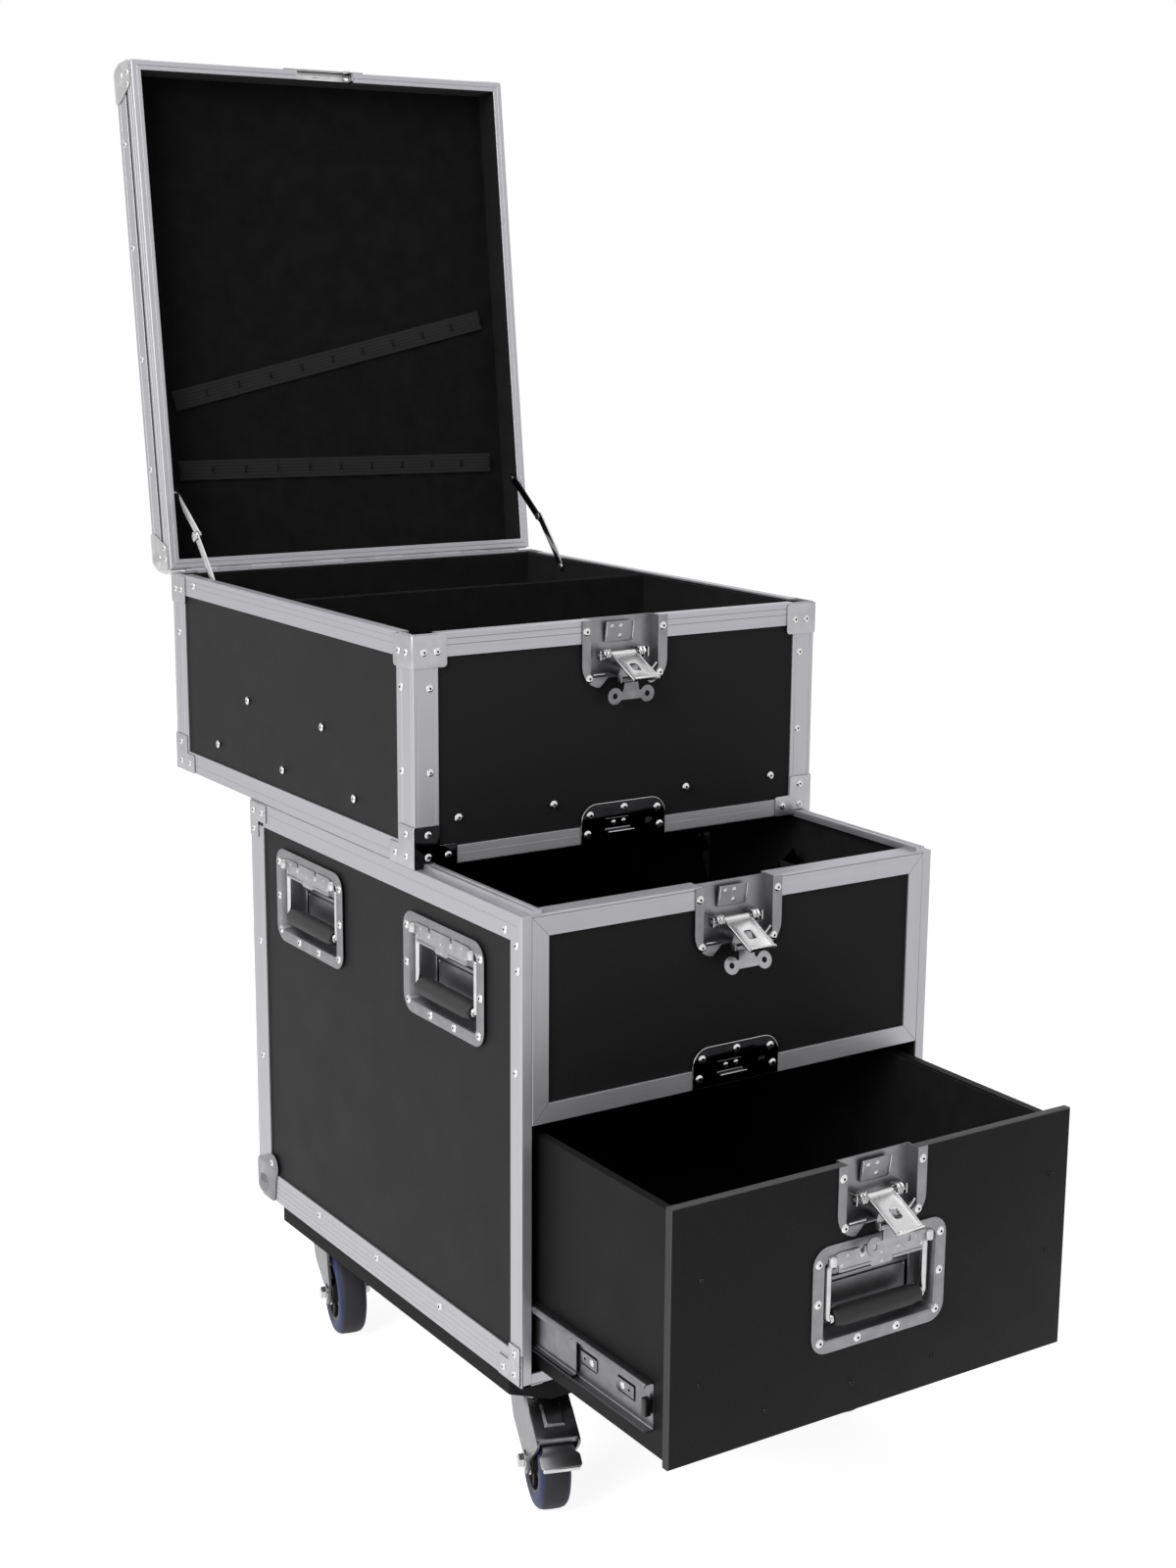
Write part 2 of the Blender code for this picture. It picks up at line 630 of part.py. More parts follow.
def make_top_case(top, finishes):
    wall = ANGLE_WALL
    low = TOP_Z
    high = RIM_Z
    edge = DEPTH - wall
    groove = (TONGUE[0] - TONGUE_PLAY, TONGUE[1] + TONGUE_PLAY)
    groove_top = BASE_HEIGHT + TONGUE_RISE + TONGUE_PLAY
    grooves = [
        box((min(s * groove[0], s * groove[1]), -0.1, low - 0.01),
            (max(s * groove[0], s * groove[1]), 1.0, groove_top))
        for s in (-1, 1)
    ]
    latch_cut = moved(latch_hole(), (0.0, 0.0, high))
    cuts = [
        box((-HALF + wall, wall, low + wall), (HALF - wall, edge, high - wall)),
        box((-1.0, TOP_SIDE_POST, low + TOP_RAIL), (1.0, DEPTH - TOP_SIDE_POST, high - TOP_RAIL)),
        box((-HALF + TOP_POST, -0.1, low + TOP_RAIL), (HALF - TOP_POST, 1.0, high - TOP_RAIL)),
        box((-HALF + TOP_RIM, TOP_RIM, high - 0.01), (HALF - TOP_RIM, DEPTH - TOP_RIM, 1.0)),
        box((-groove[1], TOP_RAIL, low - 0.01), (groove[1], DEPTH - TOP_RAIL, low + 0.01)),
        *grooves,
        latch_cut,
    ]
    skeleton = carved(box((-HALF, 0.0, low), (HALF, DEPTH, high)), cuts=cuts)
    piece("top_case_frame", skeleton, top, finishes["rail"])

    inset = wall + GAP
    box_low = groove_top + GAP
    floor = box_low + PANEL
    walls = carved(
        box((-HALF + inset, inset, box_low), (HALF - inset, DEPTH - inset, high - inset)),
        cuts=[
            box((-HALF + inset + PANEL, inset + PANEL, floor),
                (HALF - inset - PANEL, DEPTH - inset - PANEL, 1.0)),
            moved(latch_hole(), (0.0, 0.0, high)),
        ],
    )
    piece("top_case_box", walls, top, finishes["panel"])
    span = HALF - inset - PANEL - GAP
    middle = DIVIDER_Y
    divider_top = high - DIVIDER_BELOW_RIM
    divider = carved(
        box((-span, middle - PANEL / 2, floor + GAP), (span, middle + PANEL / 2, divider_top))
    )
    piece("top_divider", divider, top, finishes["felt"])


# Lid, modelled closed with the hinge pin at the origin

def make_lid(lid, finishes):
    wall = ANGLE_WALL
    back = -PIN_BEHIND
    front = back - DEPTH
    low = 2 * GAP
    high = LID_HEIGHT
    skeleton = carved(
        box((-HALF, front, low), (HALF, back, high)),
        cuts=[
            box((-HALF + wall, front + wall, low + wall), (HALF - wall, back - wall, high - wall)),
            box((-1.0, front + LID_RAIL, low + LID_RIM_RAIL), (1.0, back - LID_RAIL, high - LID_RAIL)),
            box((-HALF + LID_RAIL, front - 0.1, low + LID_RIM_RAIL),
                (HALF - LID_RAIL, 0.1, high - LID_RAIL)),
            box((-HALF + LID_RAIL, front + LID_RAIL, high - 0.01), (HALF - LID_RAIL, back - LID_RAIL, 1.0)),
            box((-HALF + TOP_RIM, front + TOP_RIM, -0.1), (HALF - TOP_RIM, back - TOP_RIM, low + 0.01)),
            box((-LID_NOTCH[0], front - 0.1, -0.1), (LID_NOTCH[0], front + TOP_RIM + 0.01, LID_NOTCH[1])),
        ],
    )
    piece("lid_frame", skeleton, lid, finishes["rail"])
    inset = wall + GAP
    tray = carved(
        box((-HALF + inset, front + inset, low + inset), (HALF - inset, back - inset, high - inset)),
        cuts=[
            box((-HALF + inset + PANEL, front + inset + PANEL, -0.1),
                (HALF - inset - PANEL, back - inset - PANEL, high - inset - PANEL)),
            box((-LID_NOTCH[0], front - 0.1, -0.1), (LID_NOTCH[0], front + 0.02, LID_NOTCH[1])),
        ],
    )
    piece("lid_panel", tray, lid, finishes["panel"])
    lid_keeper_seat = empty("lid_keeper_seat", (0.0, front, low), lid)
    return lid_keeper_seat


def hinge_leaf(for_lid):
    """One leaf of the piano hinge, about its pin at the origin. The case's leaf also holds the pin."""
    sign = 1 if for_lid else -1
    near = LEAF_START
    z0, z1 = sorted((sign * near, sign * LEAF_HEIGHT))
    half = HINGE_LENGTH / 2
    against = -PIN_BEHIND + GAP
    plate = box((-half, against, z0), (half, against + LEAF_THICK, z1))
    pitch = HINGE_LENGTH / KNUCKLES
    joins = []
    for number in range(KNUCKLES):
        if number % 2 != (1 if for_lid else 0):
            continue
        x0 = -half + number * pitch + GAP
        x1 = x0 + pitch - 2 * GAP
        joins.append(rod("x", (0.0, 0.0), KNUCKLE_RADIUS, x0, x1, 12))
        t0, t1 = sorted((0.0, sign * (near + 0.0005)))
        joins.append(box((x0, against + 0.0001, t0), (x1, against + LEAF_THICK - 0.0001, t1)))
    if for_lid:
        bore = rod("x", (0.0, 0.0), PIN_RADIUS + GAP, -half - 0.01, half + 0.01, 12)
        return carved(plate, joins=joins, cuts=[bore])
    pin = rod("x", (0.0, 0.0), PIN_RADIUS, -half, half, 10)
    return carved(plate, joins=[*joins, pin])


# Lid stays: flat arms in two planes, so that they pass each other at the elbow

def stay_arm(end, plane):
    """An arm from its wall pivot at the origin to its elbow, with a short stub to the wall."""
    arm = prism(bar_outline((0.0, 0.0), end, STAY_WIDTH), "x", *plane)
    stub = rod("x", (0.0, 0.0), STAY_PIN, plane[1] - 0.0004, STAY_PIN_END, 10)
    return carved(arm, joins=[stub])


def make_stays(top, lid, finishes):
    low = Vector(STAY_LOW)
    elbow = Vector(STAY_ELBOW)
    high = Vector(STAY_HIGH)
    lower = stay_arm(tuple(elbow - low), STAY_PLANES[0])
    # The upper arm is drawn in the closed lid's frame, so it is turned back from the open pose
    swing = Matrix.Rotation(LID_OPEN, 2)
    pin = Vector((PIN_BEHIND, 0.0))
    upper_end = swing @ (elbow - high)
    upper_at = swing @ (high - pin)
    upper = stay_arm(tuple(upper_end), STAY_PLANES[1])
    for side in ("right", "left"):
        turn = (lambda mesh: mesh) if side == "right" else mirrored
        low_pivot = empty("stay_low_" + side, (0.0, DEPTH + low.x, RIM_Z + low.y), top)
        piece("stay_lower_" + side, turn(lower), low_pivot, finishes["zinc"], smooth=True)
        high_pivot = empty("stay_high_" + side, (0.0, upper_at.x, upper_at.y), lid)
        piece("stay_upper_" + side, turn(upper), high_pivot, finishes["zinc"], smooth=True)


def main():
    clear_scene()
    finishes = {
        "rail": material("anodised_rail", (0.45, 0.45, 0.47), 0.35, 0.9),
        "panel": material("black_panel", (0.014, 0.014, 0.014), 0.6, 0.0),
        "felt": material("black_felt", (0.004, 0.004, 0.004), 0.95, 0.0),
        "board": material("black_board", (0.006, 0.006, 0.006), 0.7, 0.0),
        "zinc": material("zinc_plate", (0.6, 0.6, 0.6), 0.25, 1.0),
        "rubber": material("black_rubber", (0.012, 0.012, 0.012), 0.7, 0.0),
        "tyre": material("blue_tyre", (0.025, 0.042, 0.12), 0.6, 0.0),
    }
    meshes = {
        "handle_dish": handle_dish(),
        "handle_bail": handle_bail(),
        "latch_dish": latch_dish(),
        "latch_hook": latch_hook(),
        "latch_wing": latch_wing(),
    }
    keeper_mesh = keeper()
    frame = empty("case_frame", (0.0, -MIDDLE_Y, LIFT))
    make_base(frame, finishes)
    keeper_seat = empty("drawer_keeper_seat", (0.0, 0.0, STRIP_BOTTOM), frame)
    piece("drawer_keeper", keeper_mesh, keeper_seat, finishes["zinc"])
    make_latch("base", empty("base_latch_seat", (0.0, 0.0, BASE_HEIGHT), frame), meshes, finishes)
    for side, sign in (("left", -1), ("right", 1)):
        for place, (y, z) in SIDE_PLACES.items():
            name = side + "_" + place
            seat = empty("handle_seat_" + name, (sign * HALF, y, z), frame, (0.0, 0.0, sign * math.pi / 2))
            make_handle(("handle_dish_" + name, "handle_bail_" + name), seat, meshes, finishes)

    drawer = empty("drawer_frame", (0.0, -DRAWER_OUT, 0.0), frame)
    middle = empty("slide_middle_frame", (0.0, -DRAWER_OUT / 2, 0.0), frame)
    make_drawer(drawer, finishes)
    make_slides(frame, drawer, middle, finishes)
    make_latch("drawer", empty("drawer_latch_seat", (0.0, 0.0, DRAWER_Z[1]), drawer), meshes, finishes)
    handle_seat = empty("drawer_handle_seat", (0.0, 0.0, DRAWER_HANDLE_Z), drawer)
    make_handle(("drawer_handle_dish", "drawer_handle_bail"), handle_seat, meshes, finishes)

    top = empty("top_frame", (0.0, TOP_BACK, 0.0), frame)
    make_top_case(top, finishes)
    piece("top_keeper", keeper_mesh, empty("top_keeper_seat", (0.0, 0.0, TOP_Z), top), finishes["zinc"])
    make_latch("lid", empty("lid_latch_seat", (0.0, 0.0, RIM_Z), top), meshes, finishes)
    hinge_at = (0.0, DEPTH + PIN_BEHIND, RIM_Z)
    piece("hinge_case_leaf", hinge_leaf(False), empty("hinge_pin", hinge_at, top), finishes["zinc"])
    lid = empty("lid_frame_axis", hinge_at, top, (-LID_OPEN, 0.0, 0.0))
    lid_keeper_seat = make_lid(lid, finishes)
    piece("lid_keeper", keeper_mesh, lid_keeper_seat, finishes["zinc"])
    piece("hinge_lid_leaf", hinge_leaf(True), lid, finishes["zinc"])
    make_stays(top, lid, finishes)

    parts = {"front": castor_fork(True), "rear": castor_fork(False)}
    wheel = castor_wheel()
    pedal = brake_pedal()
    for corner in ("front_left", "front_right", "rear_left", "rear_right"):
        make_castor(corner, frame, (parts[corner.split("_")[0]], wheel, pedal), finishes)


main()
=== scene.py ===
import json
import math

import bmesh
import bpy
from mathutils import Matrix, Vector


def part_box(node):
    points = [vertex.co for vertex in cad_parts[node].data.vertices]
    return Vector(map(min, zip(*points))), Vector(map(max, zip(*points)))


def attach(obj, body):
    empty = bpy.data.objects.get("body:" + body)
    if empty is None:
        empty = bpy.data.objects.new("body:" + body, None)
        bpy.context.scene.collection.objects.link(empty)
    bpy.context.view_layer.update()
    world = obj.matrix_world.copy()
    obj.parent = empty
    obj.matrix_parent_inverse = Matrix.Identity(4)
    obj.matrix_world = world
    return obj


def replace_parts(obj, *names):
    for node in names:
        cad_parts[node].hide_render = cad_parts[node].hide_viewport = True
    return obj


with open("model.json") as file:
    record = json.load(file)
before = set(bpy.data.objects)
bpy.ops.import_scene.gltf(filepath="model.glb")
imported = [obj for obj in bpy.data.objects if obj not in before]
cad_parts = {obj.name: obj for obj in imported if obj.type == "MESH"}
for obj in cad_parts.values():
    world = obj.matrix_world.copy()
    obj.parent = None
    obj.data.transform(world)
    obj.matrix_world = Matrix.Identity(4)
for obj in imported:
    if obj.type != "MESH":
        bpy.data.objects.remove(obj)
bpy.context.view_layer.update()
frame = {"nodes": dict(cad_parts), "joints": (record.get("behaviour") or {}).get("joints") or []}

# Shapes are given in millimetres. MM turns them into Blender's metres, and NEAR is a hair's breadth in mm.
MM = 0.001
NEAR = 0.01
X, Y, Z = Vector((1, 0, 0)), Vector((0, 1, 0)), Vector((0, 0, 1))

# The case's own frame: x to the right, y back from the front of the base, z up from its underside
BASE_LOW, BASE_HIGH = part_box("base_edge_frame")
TOP_LOW, TOP_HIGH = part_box("top_case_frame")
HALF = BASE_HIGH.x / MM
DEPTH = (BASE_HIGH.y - BASE_LOW.y) / MM
TONGUE_RISE = 5
BASE_HEIGHT = (BASE_HIGH.z - BASE_LOW.z) / MM - TONGUE_RISE
TOP_FOOT = (TOP_LOW.z - BASE_LOW.z) / MM
TOP_RIM = (TOP_HIGH.z - BASE_LOW.z) / MM
CASE = Matrix.Translation((0, BASE_LOW.y, BASE_LOW.z))
TOP = Matrix.Translation((0, TOP_LOW.y, BASE_LOW.z))
DRAWER = Matrix.Translation((0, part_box("drawer_front")[0].y, BASE_LOW.z))
MIRROR = Matrix.Diagonal((-1, 1, 1, 1))

# The lid's frame is that of the closed lid, with its hinge pin along x through the origin
LID_HINGE = next(joint for joint in frame["joints"] if joint["name"] == "lid_hinge")
LID_OPEN = math.radians(-LID_HINGE["range_deg"][0])
LID = Matrix.Translation(LID_HINGE["pos_m"]) @ Matrix.Rotation(-LID_OPEN, 4, "X")
LID_BACK = -2.4
LID_FRONT = LID_BACK - DEPTH
LID_FOOT = 0.6
LID_TOP = 51.5

# Rails: the width of each flange, and the wall that they are drawn in
RAIL_WALL = 2
GROOVE = 0.45
BALL_CUT = 10
BASE_POST = (20.5, 11.5)
BACK_POST = 33
BASE_TOP_RAIL = (27, 21.5)
BASE_FOOT_RAIL = (34, 24.5)
FRONT_SILL = 12.5
TONGUE = (228.5, 240)
CASE_POST = (34, 28.5)
CASE_RAIL = (24.5, 11.5)
CASE_FOOT = (24.5, 9.4)
LID_RIM = (18, 11.5)
LID_EDGE = (26.5, 26.5)
LID_NOTCH = 38.5
STRIP_OUTSIDE = (238.2, 266.4, 470.5)
STRIP_INSIDE = (220, 286, 451)
LATCH_CUT = 43.6

# Sheet pieces: their wall, and the plane of the outside of a plate that lies on a face
SHEET = 1.2
FACE = -1.5

# Hardware: where the handles are on a side (y, z) and on the drawer (z), the drawer front's upper edge,
# and how far the handles' grips hang below their pivots
HANDLE_SPOTS = (("front", (147, 377)), ("rear", (442, 379)))
DRAWER_HANDLE = 136.5
DRAWER_TOP = 263.5
BAIL_DROP = -50
LATCH_PIN = (0, 4, -38)
PLATE_LEAN = Matrix.Translation((0, 9 * MM, -5 * MM)) @ Matrix.Rotation(math.radians(9), 4, "X")
TRAIL = 38
AXLE_DROP = 78.2
CHEEK = 22
HOOD_SLOPE = math.degrees(math.atan2(28.5, 62))
SLIDE_MIDDLE = 60


# Workbench: small steps used on every piece

def metres(values):
    return [value * MM for value in values]


def take_up(piece):
    """Makes one piece the only one selected, and the active one."""
    bpy.ops.object.select_all(action="DESELECT")
    piece.select_set(True)
    bpy.context.view_layer.objects.active = piece


def open_up(piece):
    """Starts shaping a piece."""
    take_up(piece)
    bpy.ops.object.mode_set(mode="EDIT")


def put_down():
    """Ends shaping."""
    bpy.ops.object.mode_set(mode="OBJECT")


def choose(kind, test):
    """While shaping, selects only the verts, edges or faces that pass a test of place and direction."""
    bpy.ops.mesh.select_mode(type={"verts": "VERT", "edges": "EDGE", "faces": "FACE"}[kind])
    bpy.ops.mesh.select_all(action="DESELECT")
    mesh = bpy.context.edit_object.data
    shape = bmesh.from_edit_mesh(mesh)
    shape.normal_update()
    for part in getattr(shape, kind):
        if kind == "verts":
            place, way = part.co, part.normal
        elif kind == "edges":
            first, last = (vert.co for vert in part.verts)
            place, way = (first + last) / 2, (last - first).normalized()
        else:
            place, way = part.calc_center_median(), part.normal
        if test(place / MM, way):
            part.select_set(True)
    shape.select_flush_mode()
    bmesh.update_edit_mesh(mesh)


def choose_all():
    bpy.ops.mesh.select_all(action="SELECT")


def push(*move):
    """Extrudes what is chosen."""
    bpy.ops.mesh.extrude_region_move(TRANSFORM_OT_translate={"value": metres(move)})


def shift(*move):
    bpy.ops.transform.translate(value=metres(move))


def spread(factors, centre):
    """Scales what is chosen about a point."""
    bpy.ops.transform.resize(value=factors, center_override=metres(centre))


def ease(width, steps=2, kind="EDGES"):
    """Rounds the chosen edges, or the corners of a flat piece when kind is VERTICES."""
    bpy.ops.mesh.bevel(offset=width * MM, segments=steps, affect=kind)


def inset(width):
    bpy.ops.mesh.inset(thickness=width * MM)


def two_finishes(piece, first, second, test):
    """Gives a piece its finish, and another one to the faces that pass a test."""
    piece.data.materials.append(first)
    piece.data.materials.append(second)
    open_up(piece)
    choose("faces", test)
    piece.active_material_index = 1
    bpy.ops.object.material_slot_assign()
    put_down()


def slice_at(place, way, keep="both"):
    """Cuts the whole piece along a plane. keep is both, or the side behind or ahead of the plane."""
    choose_all()
    bpy.ops.mesh.bisect(
        plane_co=metres(place), plane_no=way, use_fill=keep != "both",
        clear_outer=keep == "behind", clear_inner=keep == "ahead",
    )


def mend():
    """Closes the seams of the piece being shaped and turns its faces outward."""
    choose_all()
    bpy.ops.mesh.remove_doubles(threshold=0.00002)
    bpy.ops.mesh.normals_make_consistent(inside=False)


def mended(piece):
    open_up(piece)
    mend()
    put_down()
    return piece


def wall(piece, thick, side=-1, even=False):
    """Gives an open face a wall behind it, or in front of it when side is 1."""
    take_up(piece)
    made = piece.modifiers.new("wall", "SOLIDIFY")
    made.thickness = thick * MM
    made.offset = side
    made.use_even_offset = even
    bpy.ops.object.modifier_apply(modifier="wall")


def block(low, high):
    """A rectangular blank between two corners."""
    low, high = Vector(metres(low)), Vector(metres(high))
    bpy.ops.object.select_all(action="DESELECT")
    bpy.ops.mesh.primitive_cube_add(size=1, location=(low + high) / 2, scale=high - low)
    bpy.ops.object.transform_apply()
    return bpy.context.object


def blank(width, length, middle=(0, 0, 0), turn=(0, 0, 0)):
    """A flat rectangular blank: its sizes along x and y, its middle, and how it is then turned."""
    bpy.ops.object.select_all(action="DESELECT")
    bpy.ops.mesh.primitive_plane_add(size=1, location=metres(middle), rotation=turn)
    piece = bpy.context.object
    piece.scale = (width * MM, length * MM, 1)
    bpy.ops.object.transform_apply()
    return piece


def eased_block(low, high, width, steps=2):
    """A rectangular blank with all its edges rounded."""
    piece = block(low, high)
    open_up(piece)
    choose_all()
    ease(width, steps)
    put_down()
    return piece


def turned(profile, sides=24):
    """A piece turned on a lathe about z. The profile is a closed loop of (radius, height)."""
    bpy.ops.object.select_all(action="DESELECT")
    bpy.ops.mesh.primitive_circle_add(vertices=len(profile), radius=1)
    piece = bpy.context.object
    for vert, (radius, height) in zip(piece.data.vertices, profile):
        vert.co = (radius * MM, 0, height * MM)
    open_up(piece)
    choose_all()
    bpy.ops.mesh.spin(steps=sides, angle=2 * math.pi, center=(0, 0, 0), axis=(0, 0, 1))
    mend()
    put_down()
    return piece


def arc(centre, radius, start, end, steps=6):
    """Points on a round stretch, with its angles in degrees."""
    points = []
    for step in range(steps + 1):
        turn = math.radians(start + (end - start) * step / steps)
        points.append((centre[0] + radius * math.cos(turn), centre[1] + radius * math.sin(turn)))
    return points


def made_from(drawing, loops, closed):
    """Draws lines of points in a curve, and makes it a mesh."""
    for loop in loops:
        line = drawing.splines.new("POLY")
        line.points.add(len(loop) - 1)
        line.use_cyclic_u = closed
        for point, place in zip(line.points, loop):
            point.co = (*metres((*place, 0)[:3]), 1)
    piece = bpy.data.objects.new("drawing", drawing)
    bpy.context.collection.objects.link(piece)
    take_up(piece)
    bpy.ops.object.convert(target="MESH")
    return bpy.context.object


def cut_sheet(outline, thick, holes=(), edge=0.3):
    """A flat part punched from sheet, standing in the x-z plane with its middle at y = 0."""
    drawing = bpy.data.curves.new("outline", "CURVE")
    drawing.dimensions = "2D"
    drawing.fill_mode = "BOTH"
    drawing.extrude = (thick / 2 - edge) * MM
    drawing.bevel_depth = edge * MM
    drawing.bevel_resolution = 1
    drawing.offset = -edge * MM
    return mended(moved(made_from(drawing, (outline, *holes), True), turn_about("X", 90)))


def wire(points, radius, sides=10):
    """A round bar bent along a line of points."""
    drawing = bpy.data.curves.new("wire", "CURVE")
    drawing.dimensions = "3D"
    drawing.bevel_depth = radius * MM
    drawing.bevel_resolution = max(0, sides // 2 - 2)
    drawing.use_fill_caps = True
    return mended(made_from(drawing, (points,), False))


def cut_away(piece, cutter, kept="DIFFERENCE"):
    """Takes one shape out of another, or keeps only what they share, and throws the cutter away."""
    take_up(piece)
    cut = piece.modifiers.new("cut", "BOOLEAN")
    cut.operation = kept
    cut.object = cutter
    bpy.ops.object.modifier_apply(modifier="cut")
    bpy.data.objects.remove(cutter)


def joined(pieces):
    """Several shapes made one piece, without welding them."""
    bpy.ops.object.select_all(action="DESELECT")
    for piece in pieces:
        piece.select_set(True)
    bpy.context.view_layer.objects.active = pieces[0]
    bpy.ops.object.join()
    return pieces[0]


def at(x, y, z):
    """The place that is moved by millimetres."""
    return Matrix.Translation(metres((x, y, z)))


def turn_about(axis, degrees):
    return Matrix.Rotation(math.radians(degrees), 4, axis)


def mirrored(side):
    """The place of the left one of a pair when side is -1, and of the right one when it is 1."""
    return Matrix.Diagonal((side, 1, 1, 1))


def moved(piece, place):
    """Moves a piece within its own mesh."""
    piece.data.transform(place)
    if place.determinant() < 0:
        piece.data.flip_normals()
    return piece


def another(model, place=None):
    """One more of a piece, with its own mesh."""
    twin = model.copy()
    twin.data = model.data.copy()
    bpy.context.collection.objects.link(twin)
    return moved(twin, place or Matrix())


def facing(point, outward):
    """The place for a piece modelled with its outside along +z, so that it faces outward at a point."""
    return at(*point) @ Vector(outward).to_track_quat("Z", "Y").to_matrix().to_4x4()


MODELS = []


def settle(model, name, place, body, finish):
    """Makes a named piece from a finished model, in its finish and in its place on its body."""
    if model not in MODELS:
        MODELS.append(model)
    piece = another(model)
    piece.name = name
    piece.data.name = name
    take_up(piece)
    bpy.ops.object.shade_smooth_by_angle(angle=math.radians(35))
    moved(piece, place)
    if finish.name not in piece.data.materials:
        piece.data.materials.clear()
        piece.data.materials.append(finish)
    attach(piece, body)
    return piece


# Finishes

def paint(code):
    """An sRGB hex colour as the linear colour that a shader takes."""
    channels = [int(code[i:i + 2], 16) / 255 for i in (1, 3, 5)]
    return (*[c / 12.92 if c <= 0.04045 else ((c + 0.055) / 1.055) ** 2.4 for c in channels], 1)


def add(tree, kind, inputs, **settings):
    """Adds a shader node. Its inputs are plain values, outputs, or nodes (their first output)."""
    made = tree.nodes.new("ShaderNode" + kind)
    for key, value in settings.items():
        setattr(made, key, value)
    for key, value in inputs.items():
        if isinstance(value, bpy.types.Node):
            value = value.outputs[0]
        if isinstance(value, bpy.types.NodeSocket):
            tree.links.new(value, made.inputs[key])
        else:
            made.inputs[key].default_value = value
    return made


def start_finish(name, slot, values, chart="Object"):
    """A new material with the plain settings of its shader, and the coordinates that its patterns read."""
    finish = bpy.data.materials.new(name)
    finish["slot"] = slot
    finish.use_nodes = True
    tree = finish.node_tree
    for socket, value in values.items():
        tree.nodes["Principled BSDF"].inputs[socket].default_value = value
    return finish, tree, add(tree, "TexCoord", {}).outputs[chart]


def end_finish(finish, tone, relief, gloss=None):
    """Joins up a material. tone is a factor and two colours, relief is a height, its strength and its depth,
    and gloss is a value with the least and the most roughness."""
    tree = finish.node_tree
    shader = tree.nodes["Principled BSDF"].inputs
    factor, dark, light = tone
    colour = add(tree, "Mix", {"Factor": factor, "A": dark, "B": paint(light)}, data_type="RGBA")
    tree.links.new(colour.outputs["Result"], shader["Base Color"])
    height, strength, depth = relief
    bump = add(tree, "Bump", {"Height": height, "Strength": strength, "Distance": depth * MM})
    tree.links.new(bump.outputs[0], shader["Normal"])
    if gloss:
        value, least, most = gloss
        rough = add(tree, "MapRange", {"Value": value, "To Min": least, "To Max": most})
        tree.links.new(rough.outputs[0], shader["Roughness"])
    return finish


def anodised_aluminium(name, turn):
    """Extruded and satin anodised: faint lines along the rail from the die, and a soft even sheen."""
    finish, tree, spot = start_finish(name, "anodised_rail", {"Metallic": 1})
    # Die lines are about 0.1 mm apart. They are drawn 0.9 mm wide, so that they show.
    lines = add(tree, "Mapping", {
        "Vector": spot, "Rotation": turn, "Scale": (400 * MM, 0.9 * MM, 0.9 * MM),
    }, vector_type="TEXTURE")
    die = add(tree, "TexNoise", {"Vector": lines, "Scale": 1, "Detail": 4})
    cloud = add(tree, "TexNoise", {"Vector": spot, "Scale": 1 / (35 * MM), "Detail": 3})
    return end_finish(finish, (die, paint("#a9a9ad"), "#b7b7bb"), (die, 0.15, 0.05), (cloud, 0.46, 0.60))


def pressed_plate(name, slot, light, dark, rough, brushed):
    """Pressed and plated steel: bright, a little wavy, with fine brush lines along z where it is flat."""
    finish, tree, spot = start_finish(name, slot, {"Metallic": 1})
    # Brush lines are about 0.05 mm apart. They are drawn 0.6 mm wide, so that they show.
    lines = add(tree, "Mapping", {
        "Vector": spot, "Scale": (0.6 * MM, 0.6 * MM, 60 * MM),
    }, vector_type="TEXTURE")
    brush = add(tree, "TexNoise", {"Vector": lines, "Scale": 1, "Detail": 3})
    wave = add(tree, "TexNoise", {"Vector": spot, "Scale": 1 / (14 * MM), "Detail": 2})
    height = add(tree, "Mix", {
        "Factor": brushed, "A": wave.outputs[0], "B": brush.outputs[0],
    }, data_type="FLOAT")
    return end_finish(finish, (wave, paint(dark), light), (height, 0.35, 0.1),
                      (brush, rough * 0.75, rough * 1.3))


def phenolic_film_ply(name, dark, light, grain_tone):
    """Plywood faced with black phenolic film: a fine pebbled press texture and a dull sheen."""
    finish, tree, spot = start_finish(name, "black_panel", {"Specular IOR Level": 0.08})
    # The press texture is about 0.8 mm. It is drawn at 1.6 mm, so that it shows.
    pebble = add(tree, "TexVoronoi", {"Vector": spot, "Scale": 1 / (1.6 * MM)})
    haze = add(tree, "TexNoise", {"Vector": spot, "Scale": 1 / (45 * MM), "Detail": 5})
    grain = add(tree, "TexNoise", {"Vector": spot, "Scale": 1 / (2.2 * MM), "Detail": 4})
    patch = add(tree, "Mix", {"Factor": haze, "A": paint(dark), "B": paint(light)}, data_type="RGBA")
    return end_finish(finish, (grain, patch.outputs["Result"], grain_tone), (pebble, 0.25, 0.15),
                      (haze, 0.42, 0.62))


def needle_felt():
    """Thin needle-punched lining felt: matt, fibrous, with a weak sheen at its edges."""
    finish, tree, spot = start_finish("needle_felt", "black_felt", {
        "Roughness": 1, "Specular IOR Level": 0.1, "Sheen Weight": 0.12, "Sheen Roughness": 0.5,
    })
    # Fibres are finer than 0.1 mm. Their tufts are drawn 0.7 mm across, so that they show.
    tuft = add(tree, "TexNoise", {"Vector": spot, "Scale": 1 / (0.7 * MM), "Detail": 5})
    mat = add(tree, "TexNoise", {"Vector": spot, "Scale": 1 / (25 * MM), "Detail": 4})
    both = add(tree, "Math", {0: tuft, 1: mat}, operation="MULTIPLY")
    level = add(tree, "MapRange", {"Value": both, "From Min": 0.12, "From Max": 0.4})
    return end_finish(finish, (level, paint("#060606"), "#151515"), (tuft, 0.6, 0.4))


